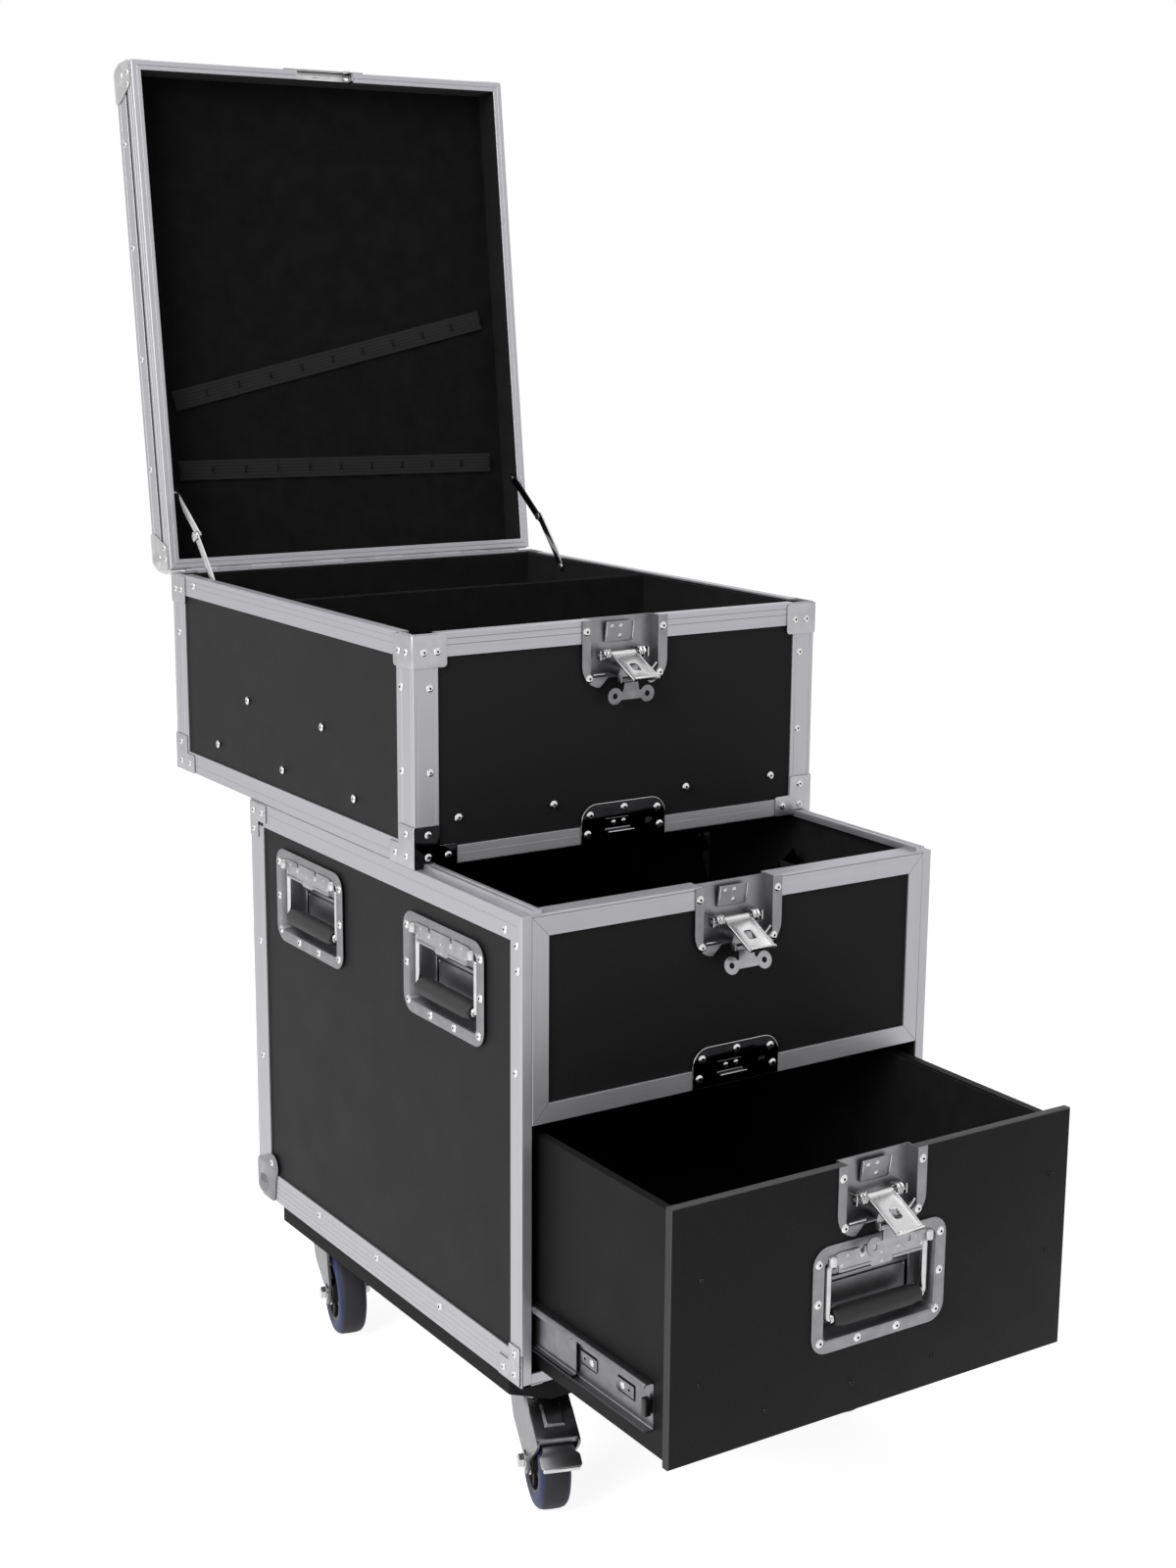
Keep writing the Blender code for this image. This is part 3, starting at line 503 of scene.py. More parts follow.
def painted_ply():
    """Birch ply rolled with black paint: the grain shows through as long shallow ridges."""
    finish, tree, spot = start_finish("painted_ply", "black_board", {"Specular IOR Level": 0.12})
    fibres = add(tree, "Mapping", {
        "Vector": spot, "Scale": (2.5 * MM, 60 * MM, 2.5 * MM),
    }, vector_type="TEXTURE")
    grain = add(tree, "TexNoise", {"Vector": fibres, "Scale": 1, "Detail": 5})
    return end_finish(finish, (grain, paint("#070707"), "#141414"), (grain, 0.4, 0.3), (grain, 0.5, 0.75))


def moulded(name, slot, light, dark, rough, grit):
    """Moulded rubber or nylon: an even matt skin with the fine grain of its mould."""
    finish, tree, spot = start_finish(name, slot, {"Specular IOR Level": 0.4})
    grain = add(tree, "TexNoise", {"Vector": spot, "Scale": 1 / (grit * MM), "Detail": 4})
    dust = add(tree, "TexNoise", {"Vector": spot, "Scale": 1 / (12 * MM), "Detail": 4})
    return end_finish(finish, (dust, paint(dark), light), (grain, 0.4, 0.15),
                      (dust, rough - 0.08, rough + 0.1))


def woven_elastic():
    """Woven elastic band: fine ribs along it, crossed by weft threads. Its UV map is in metres."""
    finish, tree, spot = start_finish("woven_elastic", "black_felt", {
        "Roughness": 0.85, "Specular IOR Level": 0.25, "Sheen Weight": 0.2,
    }, "UV")
    # Its ribs are 1 mm apart. They are drawn 4 mm apart, so that they show.
    rib = add(tree, "TexWave", {
        "Vector": spot, "Scale": 2 * math.pi / 20 / (4 * MM), "Distortion": 0.3,
    }, bands_direction="Y").outputs["Fac"]
    weft = add(tree, "TexNoise", {"Vector": spot, "Scale": 1 / (0.8 * MM), "Detail": 3})
    height = add(tree, "Math", {0: rib, 1: weft}, operation="ADD")
    return end_finish(finish, (rib, paint("#0e0e0e"), "#1d1d1d"), (height, 0.5, 0.3))


RAIL_X = anodised_aluminium("anodised_aluminium_across", (0, 0, 0))
RAIL_Y = anodised_aluminium("anodised_aluminium_back", (0, 0, math.pi / 2))
RAIL_Z = anodised_aluminium("anodised_aluminium_up", (0, -math.pi / 2, 0))
RAIL_LID = anodised_aluminium("anodised_aluminium_lid", (math.pi / 2 - LID_OPEN, 0, math.pi / 2))
FILM_PLY = phenolic_film_ply("phenolic_film_ply", "#19191a", "#252526", "#2b2b2c")
# A darker copy of the film ply for the drawer box: painted shade, as the base shades the drawer's sides.
SHADED_FILM_PLY = phenolic_film_ply("matt_film_ply", "#0f0f10", "#181819", "#1d1d1e")
FELT = needle_felt()
BOARD_PLY = painted_ply()
BAND = woven_elastic()
BRIGHT = pressed_plate("bright_nickel_plate", "chrome_plate", "#cfcfcf", "#a2a2a2", 0.14, 0.2)
BRUSHED = pressed_plate("brushed_plated_steel", "chrome_plate", "#a8a8aa", "#838387", 0.30, 0.9)
SATIN = pressed_plate("satin_nickel_plate", "chrome_plate", "#bababc", "#a2a2a6", 0.38, 0.6)
DISH = pressed_plate("dull_pressed_plate", "chrome_plate", "#949496", "#76767a", 0.40, 0.5)
DULL = pressed_plate("weathered_corner_plate", "chrome_plate", "#8e8e91", "#6c6c70", 0.22, 0.2)
# A dark copy of the bright plate, as painted reflection: plated faces that would mirror dark surroundings are
# painted dark.
DARK_REFLECTION_PLATE = pressed_plate("black_nickel_plate", "chrome_plate", "#2e2e30", "#161618", 0.10, 0.1)
RIVET_STEEL = pressed_plate("rolled_rivet_steel", "chrome_plate", "#dedede", "#c0c0c0", 0.22, 0.1)
ZINC = pressed_plate("satin_zinc_plate", "zinc_steel", "#a9a9ac", "#8c8c90", 0.34, 0.5)
DULL_ZINC = pressed_plate("dull_zinc_plate", "zinc_steel", "#88888b", "#67676b", 0.34, 0.5)
# A darkened copy of the zinc plate, as painted reflection: the castor hoods and the lid's wing are painted
# dark where they would mirror dark surroundings.
DARK_REFLECTING_ZINC = pressed_plate("dark_hood_plate", "zinc_steel", "#88888a", "#5e5e60", 0.30, 0.15)
# Dark steel for the black screws and one stay arm, and painted shade in the rivets' hollows and under the
# handles' folds.
DARK_STEEL_AND_SHADE = pressed_plate("blackened_steel", "zinc_steel", "#3a3a3c", "#1c1c1e", 0.35, 0.3)
RUBBER = moulded("moulded_grip_rubber", "black_rubber", "#303031", "#1d1d1e", 0.6, 0.9)
TYRE = moulded("cast_blue_elastic_rubber", "blue_tyre", "#25315c", "#1a2342", 0.55, 1.2)
TREAD = moulded("dusty_tyre_tread", "blue_tyre", "#3a3a40", "#252528", 0.75, 1.0)
NYLON = moulded("moulded_black_nylon", "blue_tyre", "#1c1c1c", "#0f0f0f", 0.4, 0.8)
SCUFFED = moulded("scuffed_film_edge", "black_panel", "#3c3c3c", "#222222", 0.6, 2.5)
WORN_EDGE = moulded("worn_film_edge", "black_panel", "#565656", "#3a3a3a", 0.6, 0.8)


# Fastenings

def pop_rivet():
    """A domed rivet head with a hollow in the middle where the mandrel broke off, painted dark as its shade.
    """
    head = turned([
        (0, -0.6), (3.9, -0.6), (4.0, 0.2), (3.3, 0.9), (1.9, 1.35), (1.25, 1.3), (1.1, 0.6), (0, 0.6),
    ], 12)
    # The faces in the hollow take the dark steel as painted shade.
    two_finishes(head, RIVET_STEEL, DARK_STEEL_AND_SHADE, lambda p, n: math.hypot(p.x, p.y) < 1.2 and p.z > 0)
    return head


POP_RIVET = pop_rivet()
RIVETED = {}


def rivet(body, place, points, outward, size=1.0):
    """Notes a row of rivets on a body. They are made all together at the end."""
    for point in points:
        RIVETED.setdefault(body, []).append(place @ facing(point, outward) @ Matrix.Scale(size, 4))


def rivet_face(body, place, spots, size=1.0):
    """Rivets on the front of a sheet piece, at (x, z)."""
    rivet(body, place, [(x, FACE, z) for x, z in spots], -Y, size)


def rivet_corner(body, place, spots):
    """Rivets on both faces of a corner piece, at (distance from the corner, z)."""
    rivet_face(body, place, spots)
    rivet(body, place, [(FACE, y, z) for y, z in spots], -X)


def make_rivets():
    for body, places in RIVETED.items():
        heads = joined([another(POP_RIVET, place) for place in places])
        settle(heads, "rivets_" + body, Matrix(), body, RIVET_STEEL)


def hex_bolt(across, high, washer):
    """A hexagon bolt head on its washer, pointing along +z."""
    half = across / 2
    head = turned([(0, 0), (half, 0), (half, high * 0.85), (half * 0.86, high), (0, high)], 6)
    return joined([head, turned([
        (0, -0.4), (washer, -0.4), (washer, 0.9), (washer * 0.92, 1.2), (0, 1.2),
    ], 20)])


def cross_screw(radius):
    """A domed screw head with a cross slot, pointing along +z."""
    head = turned([
        (0, -0.3), (radius, -0.3), (radius, 0.1), (radius * 0.8, radius * 0.42),
        (radius * 0.4, radius * 0.62), (0, radius * 0.66),
    ], 14)
    slot = radius * 0.16
    for turn in (0, 90):
        bar = block((-radius * 0.6, -slot, radius * 0.3), (radius * 0.6, slot, radius))
        cut_away(head, moved(bar, turn_about("Z", turn)))
    return head


def dimple(radius):
    """A low round head."""
    return turned([
        (0, -0.5), (radius, -0.5), (radius * 0.92, radius * 0.18), (radius * 0.6, radius * 0.4),
        (0, radius * 0.5),
    ], 14)


def pin(radius, start, end, sides=14):
    """A plain round pin along x."""
    return along_x(turned([(0, start), (radius, start), (radius, end), (0, end)], sides))


# Rails

def rail(length, down, across, lines_down=(), lines_across=()):
    """An angle rail along x: one flange hangs down the plane y = 0, the other lies back along z = 0.
    The lines are fine grooves, at these distances from its outer corner."""
    piece = block((0, 0, -down), (length, RAIL_WALL, 0))
    open_up(piece)
    if down > RAIL_WALL:
        slice_at((0, 0, -RAIL_WALL), Z)
    choose("faces", lambda p, n: n.y > 0.9 and p.z > -RAIL_WALL)
    push(0, across - RAIL_WALL, 0)
    for lines, way, inward in ((lines_down, -Z, Y), (lines_across, Y, -Z)):
        for spot in lines:
            slice_at(way * spot, way)

            def on_line(p):
                return abs(p.dot(inward)) < NEAR and abs(p.dot(way) - spot) < NEAR

            choose("edges", lambda p, w: abs(w.x) > 0.9 and on_line(p))
            ease(GROOVE)
            choose("verts", lambda p, n: on_line(p))
            shift(*inward * GROOVE)
    choose("edges", lambda p, w: abs(w.x) > 0.9 and abs(p.y) < NEAR and abs(p.z) < NEAR)
    ease(1.3, 3)
    choose("edges", lambda p, w: abs(w.x) > 0.9 and (
        abs(p.z + down) < NEAR and abs(p.y) < NEAR or abs(p.y - across) < NEAR and abs(p.z) < NEAR))
    ease(0.35, 1)
    put_down()
    return piece


def trim(piece, point, way):
    """Cuts off what is ahead of a plane."""
    open_up(piece)
    slice_at(point, way, keep="behind")
    put_down()


def mitre(piece, *ends):
    """Mitres a rail's ends, given as (place along it, -1 or 1 for its way out)."""
    for end, way in ends:
        trim(piece, (end, 0, 0), (way, 1, 0))


def blunt(piece, *ends):
    """Cuts a rail's outer corner off at its ends, where a ball corner stands in its place."""
    for end, way in ends:
        trim(piece, (end - way * BALL_CUT, 0, 0), (way, -1, 1))


def along(corner, length_way, inward):
    """A rail's place: its outer corner's start, its length's direction, its hanging flange's inward one."""
    place = Matrix((length_way, inward, length_way.cross(inward))).transposed().to_4x4()
    place.translation = metres(corner)
    return place


def both_sides(model, name, place, seat, body, finish):
    """Settles a left-hand piece and its mirror image on the right."""
    settle(model, name + "_left", seat @ place, body, finish)
    settle(model, name + "_right", seat @ MIRROR @ place, body, finish)


def base_rails():
    side_post, front_post = BASE_POST
    top_down, top_across = BASE_TOP_RAIL
    foot_down, foot_across = BASE_FOOT_RAIL
    corner = math.atan2(side_post, top_down)

    post = rail(BASE_HEIGHT, side_post, front_post, (4,))
    trim(post, (0, 0, 0), (-math.sin(corner), 0, -math.cos(corner)))
    both_sides(post, "base_front_post", along((-HALF, 0, BASE_HEIGHT), -Z, X), CASE, "base", RAIL_Z)

    back_post = rail(BASE_HEIGHT, BACK_POST, BACK_POST, (5, 27), (5, 27))
    blunt(back_post, (0, -1))
    both_sides(back_post, "base_back_post", along((-HALF, DEPTH, 0), Z, X), CASE, "base", RAIL_Z)

    side = rail(DEPTH, top_down, top_across, (11,))
    open_up(side)
    tongue_start = HALF - TONGUE[1]
    slice_at((0, tongue_start, 0), Y)
    choose("faces", lambda p, n: n.z > 0.7 and p.y > tongue_start and p.z > -0.6)
    push(0, 0, TONGUE_RISE)
    middle = (tongue_start + top_across) / 2
    choose("edges", lambda p, w: abs(w.x) > 0.9 and p.z > TONGUE_RISE - 0.6)
    ease(0.5)
    slice_at((0, middle, 0), Y)
    choose("edges", lambda p, w: abs(w.x) > 0.9 and abs(p.y - middle) < NEAR and p.z > 4)
    ease(1.6)
    choose("verts", lambda p, n: abs(p.y - middle) < NEAR and p.z > 4)
    shift(0, 0, -1.8)
    put_down()
    trim(side, (DEPTH, 0, 0), (math.cos(corner), 0, -math.sin(corner)))
    both_sides(side, "base_side_top_rail", along((-HALF, DEPTH, BASE_HEIGHT), -Y, X), CASE, "base", RAIL_Y)

    ribs = [foot_down * share for share in (0.18, 0.36, 0.54, 0.72)]
    foot = rail(DEPTH, foot_down, foot_across, ribs)
    blunt(foot, (DEPTH, 1))
    both_sides(foot, "base_side_foot_rail", along((-HALF, 0, 0), Y, X), CASE, "base", RAIL_Y)

    inside = HALF - front_post
    between = HALF - BACK_POST
    lip = rail(inside - LATCH_CUT, 2.2, 21.5)
    for name, model, corner, way, inward in (
        ("front_sill", rail(2 * inside, FRONT_SILL, 21.5), (inside, 0, 0), -X, Y),
        ("front_lip_left", lip, (-inside, 0, BASE_HEIGHT), X, Y),
        ("front_lip_right", lip, (LATCH_CUT, 0, BASE_HEIGHT), X, Y),
        ("back_top_rail", rail(2 * between, *BASE_TOP_RAIL, (11,)), (between, DEPTH, BASE_HEIGHT), -X, -Y),
        ("back_foot_rail", rail(2 * between, foot_down, foot_across, ribs), (-between, DEPTH, 0), X, -Y),
    ):
        low = settle(model, "base_" + name, CASE @ along(corner, way, inward), "base", RAIL_X)
        if name == "back_top_rail":
            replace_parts(low, "base_edge_frame")


def front_strips():
    """Four flat strips round the front panel, with mitred corners and a gap for the latch."""
    out_x, out_low, out_high = STRIP_OUTSIDE
    in_x, in_low, in_high = STRIP_INSIDE
    middle = (in_low + in_high) / 2
    for name, low, high, ends, finish in (
        ("low", (-out_x, out_low), (out_x, in_low), ((-1, in_low), (1, in_low)), RAIL_X),
        ("high_left", (-out_x, in_high), (-LATCH_CUT, out_high), ((-1, in_high),), RAIL_X),
        ("high_right", (LATCH_CUT, in_high), (out_x, out_high), ((1, in_high),), RAIL_X),
        ("left", (-out_x, out_low), (-in_x, out_high), ((-1, in_low), (-1, in_high)), RAIL_Z),
        ("right", (in_x, out_low), (out_x, out_high), ((1, in_low), (1, in_high)), RAIL_Z),
    ):
        strip = block((low[0], 0, low[1]), (high[0], RAIL_WALL, high[1]))
        open_up(strip)
        choose("faces", lambda p, n: n.y < -0.9)
        inset(0.35)
        shift(0, -0.3, 0)
        for side, z in ends:
            rise = in_low - out_low if z == in_low else in_high - out_high
            away = Vector((rise, 0, side * (out_x - in_x))).normalized()
            inner = Vector((side * in_x, 0, z))
            kept = (side * (in_x + out_x) / 2, 0, middle) if finish is RAIL_Z else (side * in_x / 2, 0, z)
            if (Vector(kept) - inner).dot(away) > 0:
                away = -away
            slice_at(inner - away * 0.15, away, keep="behind")
        put_down()
        set_strip = settle(strip, "front_strip_" + name, CASE, "base", finish)
        if name == "low":
            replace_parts(set_strip, "base_front_strips")


def top_case_rails():
    side_post, front_post = CASE_POST
    down, across = CASE_RAIL
    inside = HALF - front_post
    post_lines = [share * front_post for share in (0.16, 0.84)]
    lines = (0.26 * down, 0.52 * down)
    for end, y, z, way in (("front", 0, TOP_RIM, -Z), ("back", DEPTH, TOP_FOOT, Z)):
        post = rail(TOP_RIM - TOP_FOOT, *CASE_POST, post_lines, post_lines)
        moved(post, along((-HALF, y, z), way, X))
        clear_tongues(post)
        both_sides(post, "top_%s_post" % end, Matrix(), TOP, "top_case", RAIL_Z)
        inward = Y if end == "front" else -Y
        start = inside if end == "front" else -inside
        low = moved(rail(2 * inside, 19, down, (11,)), along((start, y, TOP_FOOT), Z.cross(inward), inward))
        clear_tongues(low)
        settle(low, "top_%s_foot_rail" % end, TOP, "top_case", RAIL_X)
    for name, model, corner, way, inward, finish in (
        ("side_rim", rail(DEPTH - side_post - front_post, down, across, lines),
         (-HALF, DEPTH - side_post, TOP_RIM), -Y, X, RAIL_Y),
        ("side_foot", rail(DEPTH - 2 * side_post, *CASE_FOOT, (0.4 * down,)), (-HALF, side_post, TOP_FOOT),
         Y, X, RAIL_Y),
        ("front_rim", rail(inside - LATCH_CUT, down, across, lines), (-inside, 0, TOP_RIM), X, Y, RAIL_X),
    ):
        both_sides(model, "top_%s_rail" % name, along(corner, way, inward), TOP, "top_case", finish)
    back = rail(2 * inside, down, across, lines)
    place = TOP @ along((inside, DEPTH, TOP_RIM), -X, -Y)
    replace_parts(settle(back, "top_back_rim_rail", place, "top_case", RAIL_X), "top_case_frame")


def clear_tongues(piece, place=Matrix()):
    """Cuts the channels through which the base's tongues run out of a piece of the top case."""
    room = 0.6
    for side in (-1, 1):
        near, far = sorted((side * (TONGUE[0] - room), side * (TONGUE[1] + room)))
        channel = block((near, -100, TOP_FOOT - 10), (far, 1000, TOP_FOOT + TONGUE_RISE + room))
        cut_away(piece, moved(channel, place))


def lid_rails():
    width = 2 * HALF
    rim_down, rim_across = LID_RIM
    rim_lines = ((0.33 * rim_down, 0.7 * rim_down), (0.55 * rim_across,))
    edge_lines = ((0.3 * LID_EDGE[0],), (0.3 * LID_EDGE[1],))

    side = rail(DEPTH, *LID_RIM, *rim_lines)
    mitre(side, (0, -1), (DEPTH, 1))
    both_sides(side, "lid_side_rim_rail", along((-HALF, LID_FRONT, LID_FOOT), Y, X), LID, "lid", RAIL_LID)
    half_front = rail(HALF - LID_NOTCH, *LID_RIM, *rim_lines)
    mitre(half_front, (0, -1))
    place = MIRROR @ along((HALF, LID_FRONT, LID_FOOT), -X, Y)
    both_sides(half_front, "lid_front_rim_rail", place, LID, "lid", RAIL_X)
    back = rail(width, *LID_RIM, *rim_lines)
    mitre(back, (0, -1), (width, 1))
    place = LID @ along((-HALF, LID_BACK, LID_FOOT), X, -Y)
    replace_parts(settle(back, "lid_back_rim_rail", place, "lid", RAIL_X), "lid_frame")

    side = rail(DEPTH, *LID_EDGE, *edge_lines)
    mitre(side, (0, -1), (DEPTH, 1))
    blunt(side, (0, -1), (DEPTH, 1))
    both_sides(side, "lid_side_edge_rail", along((-HALF, LID_BACK, LID_TOP), -Y, X), LID, "lid", RAIL_LID)
    end = rail(width, *LID_EDGE, *edge_lines)
    mitre(end, (0, -1), (width, 1))
    blunt(end, (0, -1), (width, 1))
    settle(end, "lid_front_edge_rail", LID @ along((-HALF, LID_FRONT, LID_TOP), X, Y), "lid", RAIL_X)
    settle(end, "lid_back_edge_rail", LID @ along((HALF, LID_BACK, LID_TOP), -X, -Y), "lid", RAIL_X)

    floor = [eased_block((-38.2, 0.4, 11.4), (38.2, 9.3, 12.7), 0.4)]
    floor.append(eased_block((-12, 3, 9.6), (12, 6.4, 11.6), 0.8))
    for x in (-38.2, 37):
        floor.append(eased_block((x, 0.4, 1.4), (x + 1.2, 9.3, 12.4), 0.4))
    settle(joined(floor), "lid_notch_floor", LID @ at(0, LID_FRONT, 0), "lid", BRIGHT)


# Sheet work

def standing(low, high):
    """A sheet's face standing in the x-z plane and looking towards -y, from its low to its high corner."""
    middle = ((low[0] + high[0]) / 2, FACE, (low[1] + high[1]) / 2)
    return blank(high[0] - low[0], high[1] - low[1], middle, (math.pi / 2, 0, 0))


def thicken(piece, thick, edge=0.3):
    """Gives a formed face the wall of its sheet, behind it, and breaks the sharp edges."""
    wall(piece, thick, even=True)
    soft = piece.modifiers.new("soft", "BEVEL")
    soft.width = edge * MM
    soft.segments = 2
    soft.limit_method = "ANGLE"
    soft.angle_limit = math.radians(50)
    bpy.ops.object.modifier_apply(modifier="soft")
    return mended(piece)


def press(steps):
    """Forms the chosen faces in steps, each inset by a width and then moved by a depth along y."""
    for width, depth in steps:
        inset(width)
        shift(0, depth, 0)


def corner_curve(before, corner, after, steps):
    """Points on the curve that rounds a corner."""
    points = []
    for step in range(steps + 1):
        part = step / steps
        points.append(before.lerp(corner, part).lerp(corner.lerp(after, part), part))
    return points


def eased_loop(points, radius, steps=4):
    """A closed outline with its corners rounded."""
    outline = []
    for number, point in enumerate(points):
        corner = Vector(point)
        before = Vector(points[number - 1]) - corner
        after = Vector(points[(number + 1) % len(points)]) - corner
        reach = min(radius, before.length * 0.45, after.length * 0.45)
        outline += corner_curve(corner + before.normalized() * reach, corner,
                                corner + after.normalized() * reach, steps)
    return outline


def bent(points, radius, steps=5):
    """A line of points with its inner corners bent to a radius."""
    points = [Vector(point) for point in points]
    line = [points[0]]
    for before, corner, after in zip(points, points[1:], points[2:]):
        line += corner_curve(corner + (before - corner).normalized() * radius, corner,
                             corner + (after - corner).normalized() * radius, steps)
    return line + [points[-1]]


def face_sheet(outline, radius, steps=4):
    """A flat plate on the face, 1.2 mm thick, with rounded corners."""
    return moved(cut_sheet(eased_loop(outline, radius, steps), SHEET), at(0, FACE + SHEET / 2, 0))


def along_x(piece):
    """Lays a piece that was turned about z along x."""
    return moved(piece, turn_about("Y", 90))


def outward(piece, x, z, y=0):
    """Turns a piece modelled along +z to point towards -y, and puts it at a point of the face."""
    return moved(piece, at(x, y, z) @ turn_about("X", 90))


# Corner plates

def corner_plate(front, side, height, arm=0, arm_height=0, curve=4):
    """A plate bent round a corner post, 1.2 mm outside it: x runs along the front, y along the side."""
    plate = standing((FACE, 0), (front, height))
    open_up(plate)
    choose("edges", lambda p, w: abs(w.z) > 0.9 and p.x < 0)
    push(0, side - FACE, 0)
    if arm:
        slice_at((0, 0, arm_height), Z)
        choose("edges", lambda p, w: abs(w.z) > 0.9 and p.x > front - NEAR and p.z < arm_height)
        push(arm, 0, 0)
        choose("edges", lambda p, w: abs(w.z) > 0.9 and p.y > side - NEAR and p.z < arm_height)
        push(0, arm, 0)

    def at_corner(p, n):
        """The corners of the outline, and those of the upright part where the plate has arms."""
        at_ends = p.x > front + arm - NEAR or p.y > side + arm - NEAR
        level = p.z < NEAR or p.z > (arm_height or height) - NEAR
        upright = arm and p.z > height - NEAR and (p.x > front - NEAR or p.y > side - NEAR)
        return level and at_ends or upright

    choose("verts", at_corner)
    ease(curve, 4, "VERTICES")
    choose("edges", lambda p, w: abs(w.z) > 0.9 and p.x < -1 and p.y < -1)
    ease(2.2, 4)
    put_down()
    return thicken(plate, SHEET, edge=0.35)


def ball_corner(upright, level):
    """A pressed steel ball corner: a dome over the corner, two upright flaps and a level one."""
    front, low = face_sheet(upright, 5), face_sheet(level, 5)
    side = another(front, Matrix(((0, 1, 0, 0), (1, 0, 0, 0), (0, 0, 1, 0), (0, 0, 0, 1))))
    moved(low, Matrix(((1, 0, 0, 0), (0, 0, 1, 0), (0, 1, 0, 0), (0, 0, 0, 1))))
    bpy.ops.object.select_all(action="DESELECT")
    bpy.ops.mesh.primitive_uv_sphere_add(segments=32, ring_count=20, radius=19 * MM, location=(13 * MM,) * 3)
    dome = bpy.context.object
    bpy.ops.object.transform_apply()
    cut_away(dome, block((3, 3, 3), (60, 60, 60)))
    return joined([front, side, low, dome])


def seat_at(frame_place, corner, *flips):
    """A corner's place: its axes point into the case, and flips says which of them are turned round."""
    return frame_place @ at(*corner) @ Matrix.Diagonal((*flips, 1))


def brackets():
    wrap = corner_plate(front=38, side=38, height=33)
    ell = corner_plate(front=28.5, side=31, height=43, arm=20, arm_height=22, curve=2.5)
    flat = face_sheet([(0, 0), (40, 0), (40, 21), (20, 21), (20, 40), (0, 40)], 2.5)
    corner_cut = [(-1, 12), (12, -1)]
    petal = [(42, -1), (45, 8), (47, 28), (54, 40), (52, 52), (42, 58), (26, 53), (8, 45), (-1, 42)]
    low_ball = ball_corner(corner_cut + petal, corner_cut + [(37, -1), (37, 9), (9, 37), (-1, 37)])
    cap = [(44, -1), (44, 8), (36, 28), (27, 45), (-1, 45)]
    high_ball = ball_corner(corner_cut + cap, corner_cut + [(44, -1), (42, 12), (12, 42), (-1, 44)])
    for x_name, flip in (("left", 1), ("right", -1)):
        x = -HALF * flip
        for y_name, y_flip, y, lid_y in (("front", 1, 0, LID_FRONT), ("back", -1, DEPTH, LID_BACK)):
            corner = "%s_%s" % (y_name, x_name)
            high = seat_at(TOP, (x, y, TOP_RIM - 1.2), flip, y_flip, -1)
            settle(wrap, "top_wrap_bracket_" + corner, high, "top_case", SATIN)
            rivet_corner("top_case", high, [(12, 17), (27, 17)])
            low = seat_at(TOP, (x, y, TOP_FOOT), flip, y_flip, 1)
            foot = moved(another(ell), low)
            clear_tongues(foot, TOP)
            foot = settle(foot, "top_foot_bracket_" + corner, Matrix(), "top_case", SATIN)
            if corner == "front_left":
                paint_dark_reflection_on_front(foot)
            rivet_corner("top_case", low, [(15, 34), (15, 11), (38, 11)])
            if y_name == "back":
                spot = seat_at(CASE, (x, y, 0), flip, -1, 1)
                settle(low_ball, "base_ball_corner_" + corner, spot, "base", DULL)
                rivet_corner("base", spot, [(38, 46)])
            spot = seat_at(LID, (x, lid_y, LID_TOP), flip, y_flip, -1)
            settle(high_ball, "lid_ball_corner_" + corner, spot, "lid", BRIGHT)
            rivet_corner("lid", spot, [(13, 40), (26, 38)])
            rivet("lid", spot, [(33, 11, FACE), (11, 33, FACE)], -Z)
        side = CASE @ at(x, 0, 0) @ turn_about("Z", -flip * 90)
        for level, place in (
            ("low", seat_at(side, (-2 * flip, 0, 1), -flip, 1, 1)),
            ("high", seat_at(side, (-(DEPTH - 2) * flip, 0, BASE_HEIGHT - 1), flip, 1, -1)),
        ):
            settle(flat, "base_%s_plate_%s" % (level, x_name), place, "base", SATIN)
            rivet_face("base", place, [(9, 31), (9, 10), (30, 10)])
    bpy.data.objects.remove(ell)


def paint_dark_reflection_on_front(piece):
    """One bracket's front face is given the dark plate: a painted dark reflection on its bright plating."""
    piece.data.materials.append(DARK_REFLECTION_PLATE)
    for face in piece.data.polygons:
        if face.normal.y < -0.8:
            face.material_index = 1


# Spring handles, about the middle of their face: x along it, z up, the case behind at +y

def handle_dish():
    """A pressed dish: a flat flange, a raised bead round the pocket, and ridges in the pocket's back."""
    dish = standing((-80, -53), (80, 53))
    open_up(dish)
    choose_all()
    ease(18, 6, "VERTICES")
    choose_all()
    press(((1.2, -0.2), (9.6, 0), (0.5, -0.5), (0.7, -0.3), (0.8, 0.2), (0.6, 0.8)))
    push(0, 25.6, 0)
    spread((0.97, 1, 0.95), (0, 26.5, 0))
    press(((5, 0), (0.8, -0.9), (2.0, 0), (0.8, 0.9)))
    put_down()
    thicken(dish, SHEET)
    fold = eased_block((-54, 21.6, 4), (54, 25, 9), 1.2, 3)
    return joined([dish, fold, outward(dimple(2), -51, 0, 23.9), outward(dimple(2), 51, 0, 23.9)])


def handle_shadow_strip():
    """A dark strip painted as the shadow under the fold in the pocket's back."""
    return eased_block((-50, 22, 2.6), (48, 24.6, 4), 0.3, 1)


def handle_cover():
    """The plate over the bail's springs. Its top edge has two notches, and it ends below in a rolled edge."""
    plate = cut_sheet(eased_loop([
        (-51, 24.5), (-14, 24.5), (-11, 22), (11, 22), (14, 24.5), (51, 24.5), (51, 32.2), (63, 32.2),
        (63, 41), (50, 44.5), (22, 44.5), (22, 40), (17, 40), (17, 44.5), (-21, 44.5), (-21, 40), (-26, 40),
        (-26, 44.5), (-50, 44.5), (-63, 41), (-63, 32.2), (-51, 32.2),
    ], 1.6, 3), SHEET)
    parts = [moved(plate, at(0, FACE - 0.9, 0))]
    for low, high in ((-49, -13), (13, 49)):
        parts.append(eased_block((low, FACE - 2.4, 24.5), (high, FACE - 0.6, 27.5), 0.8, 3))
    return joined(parts)


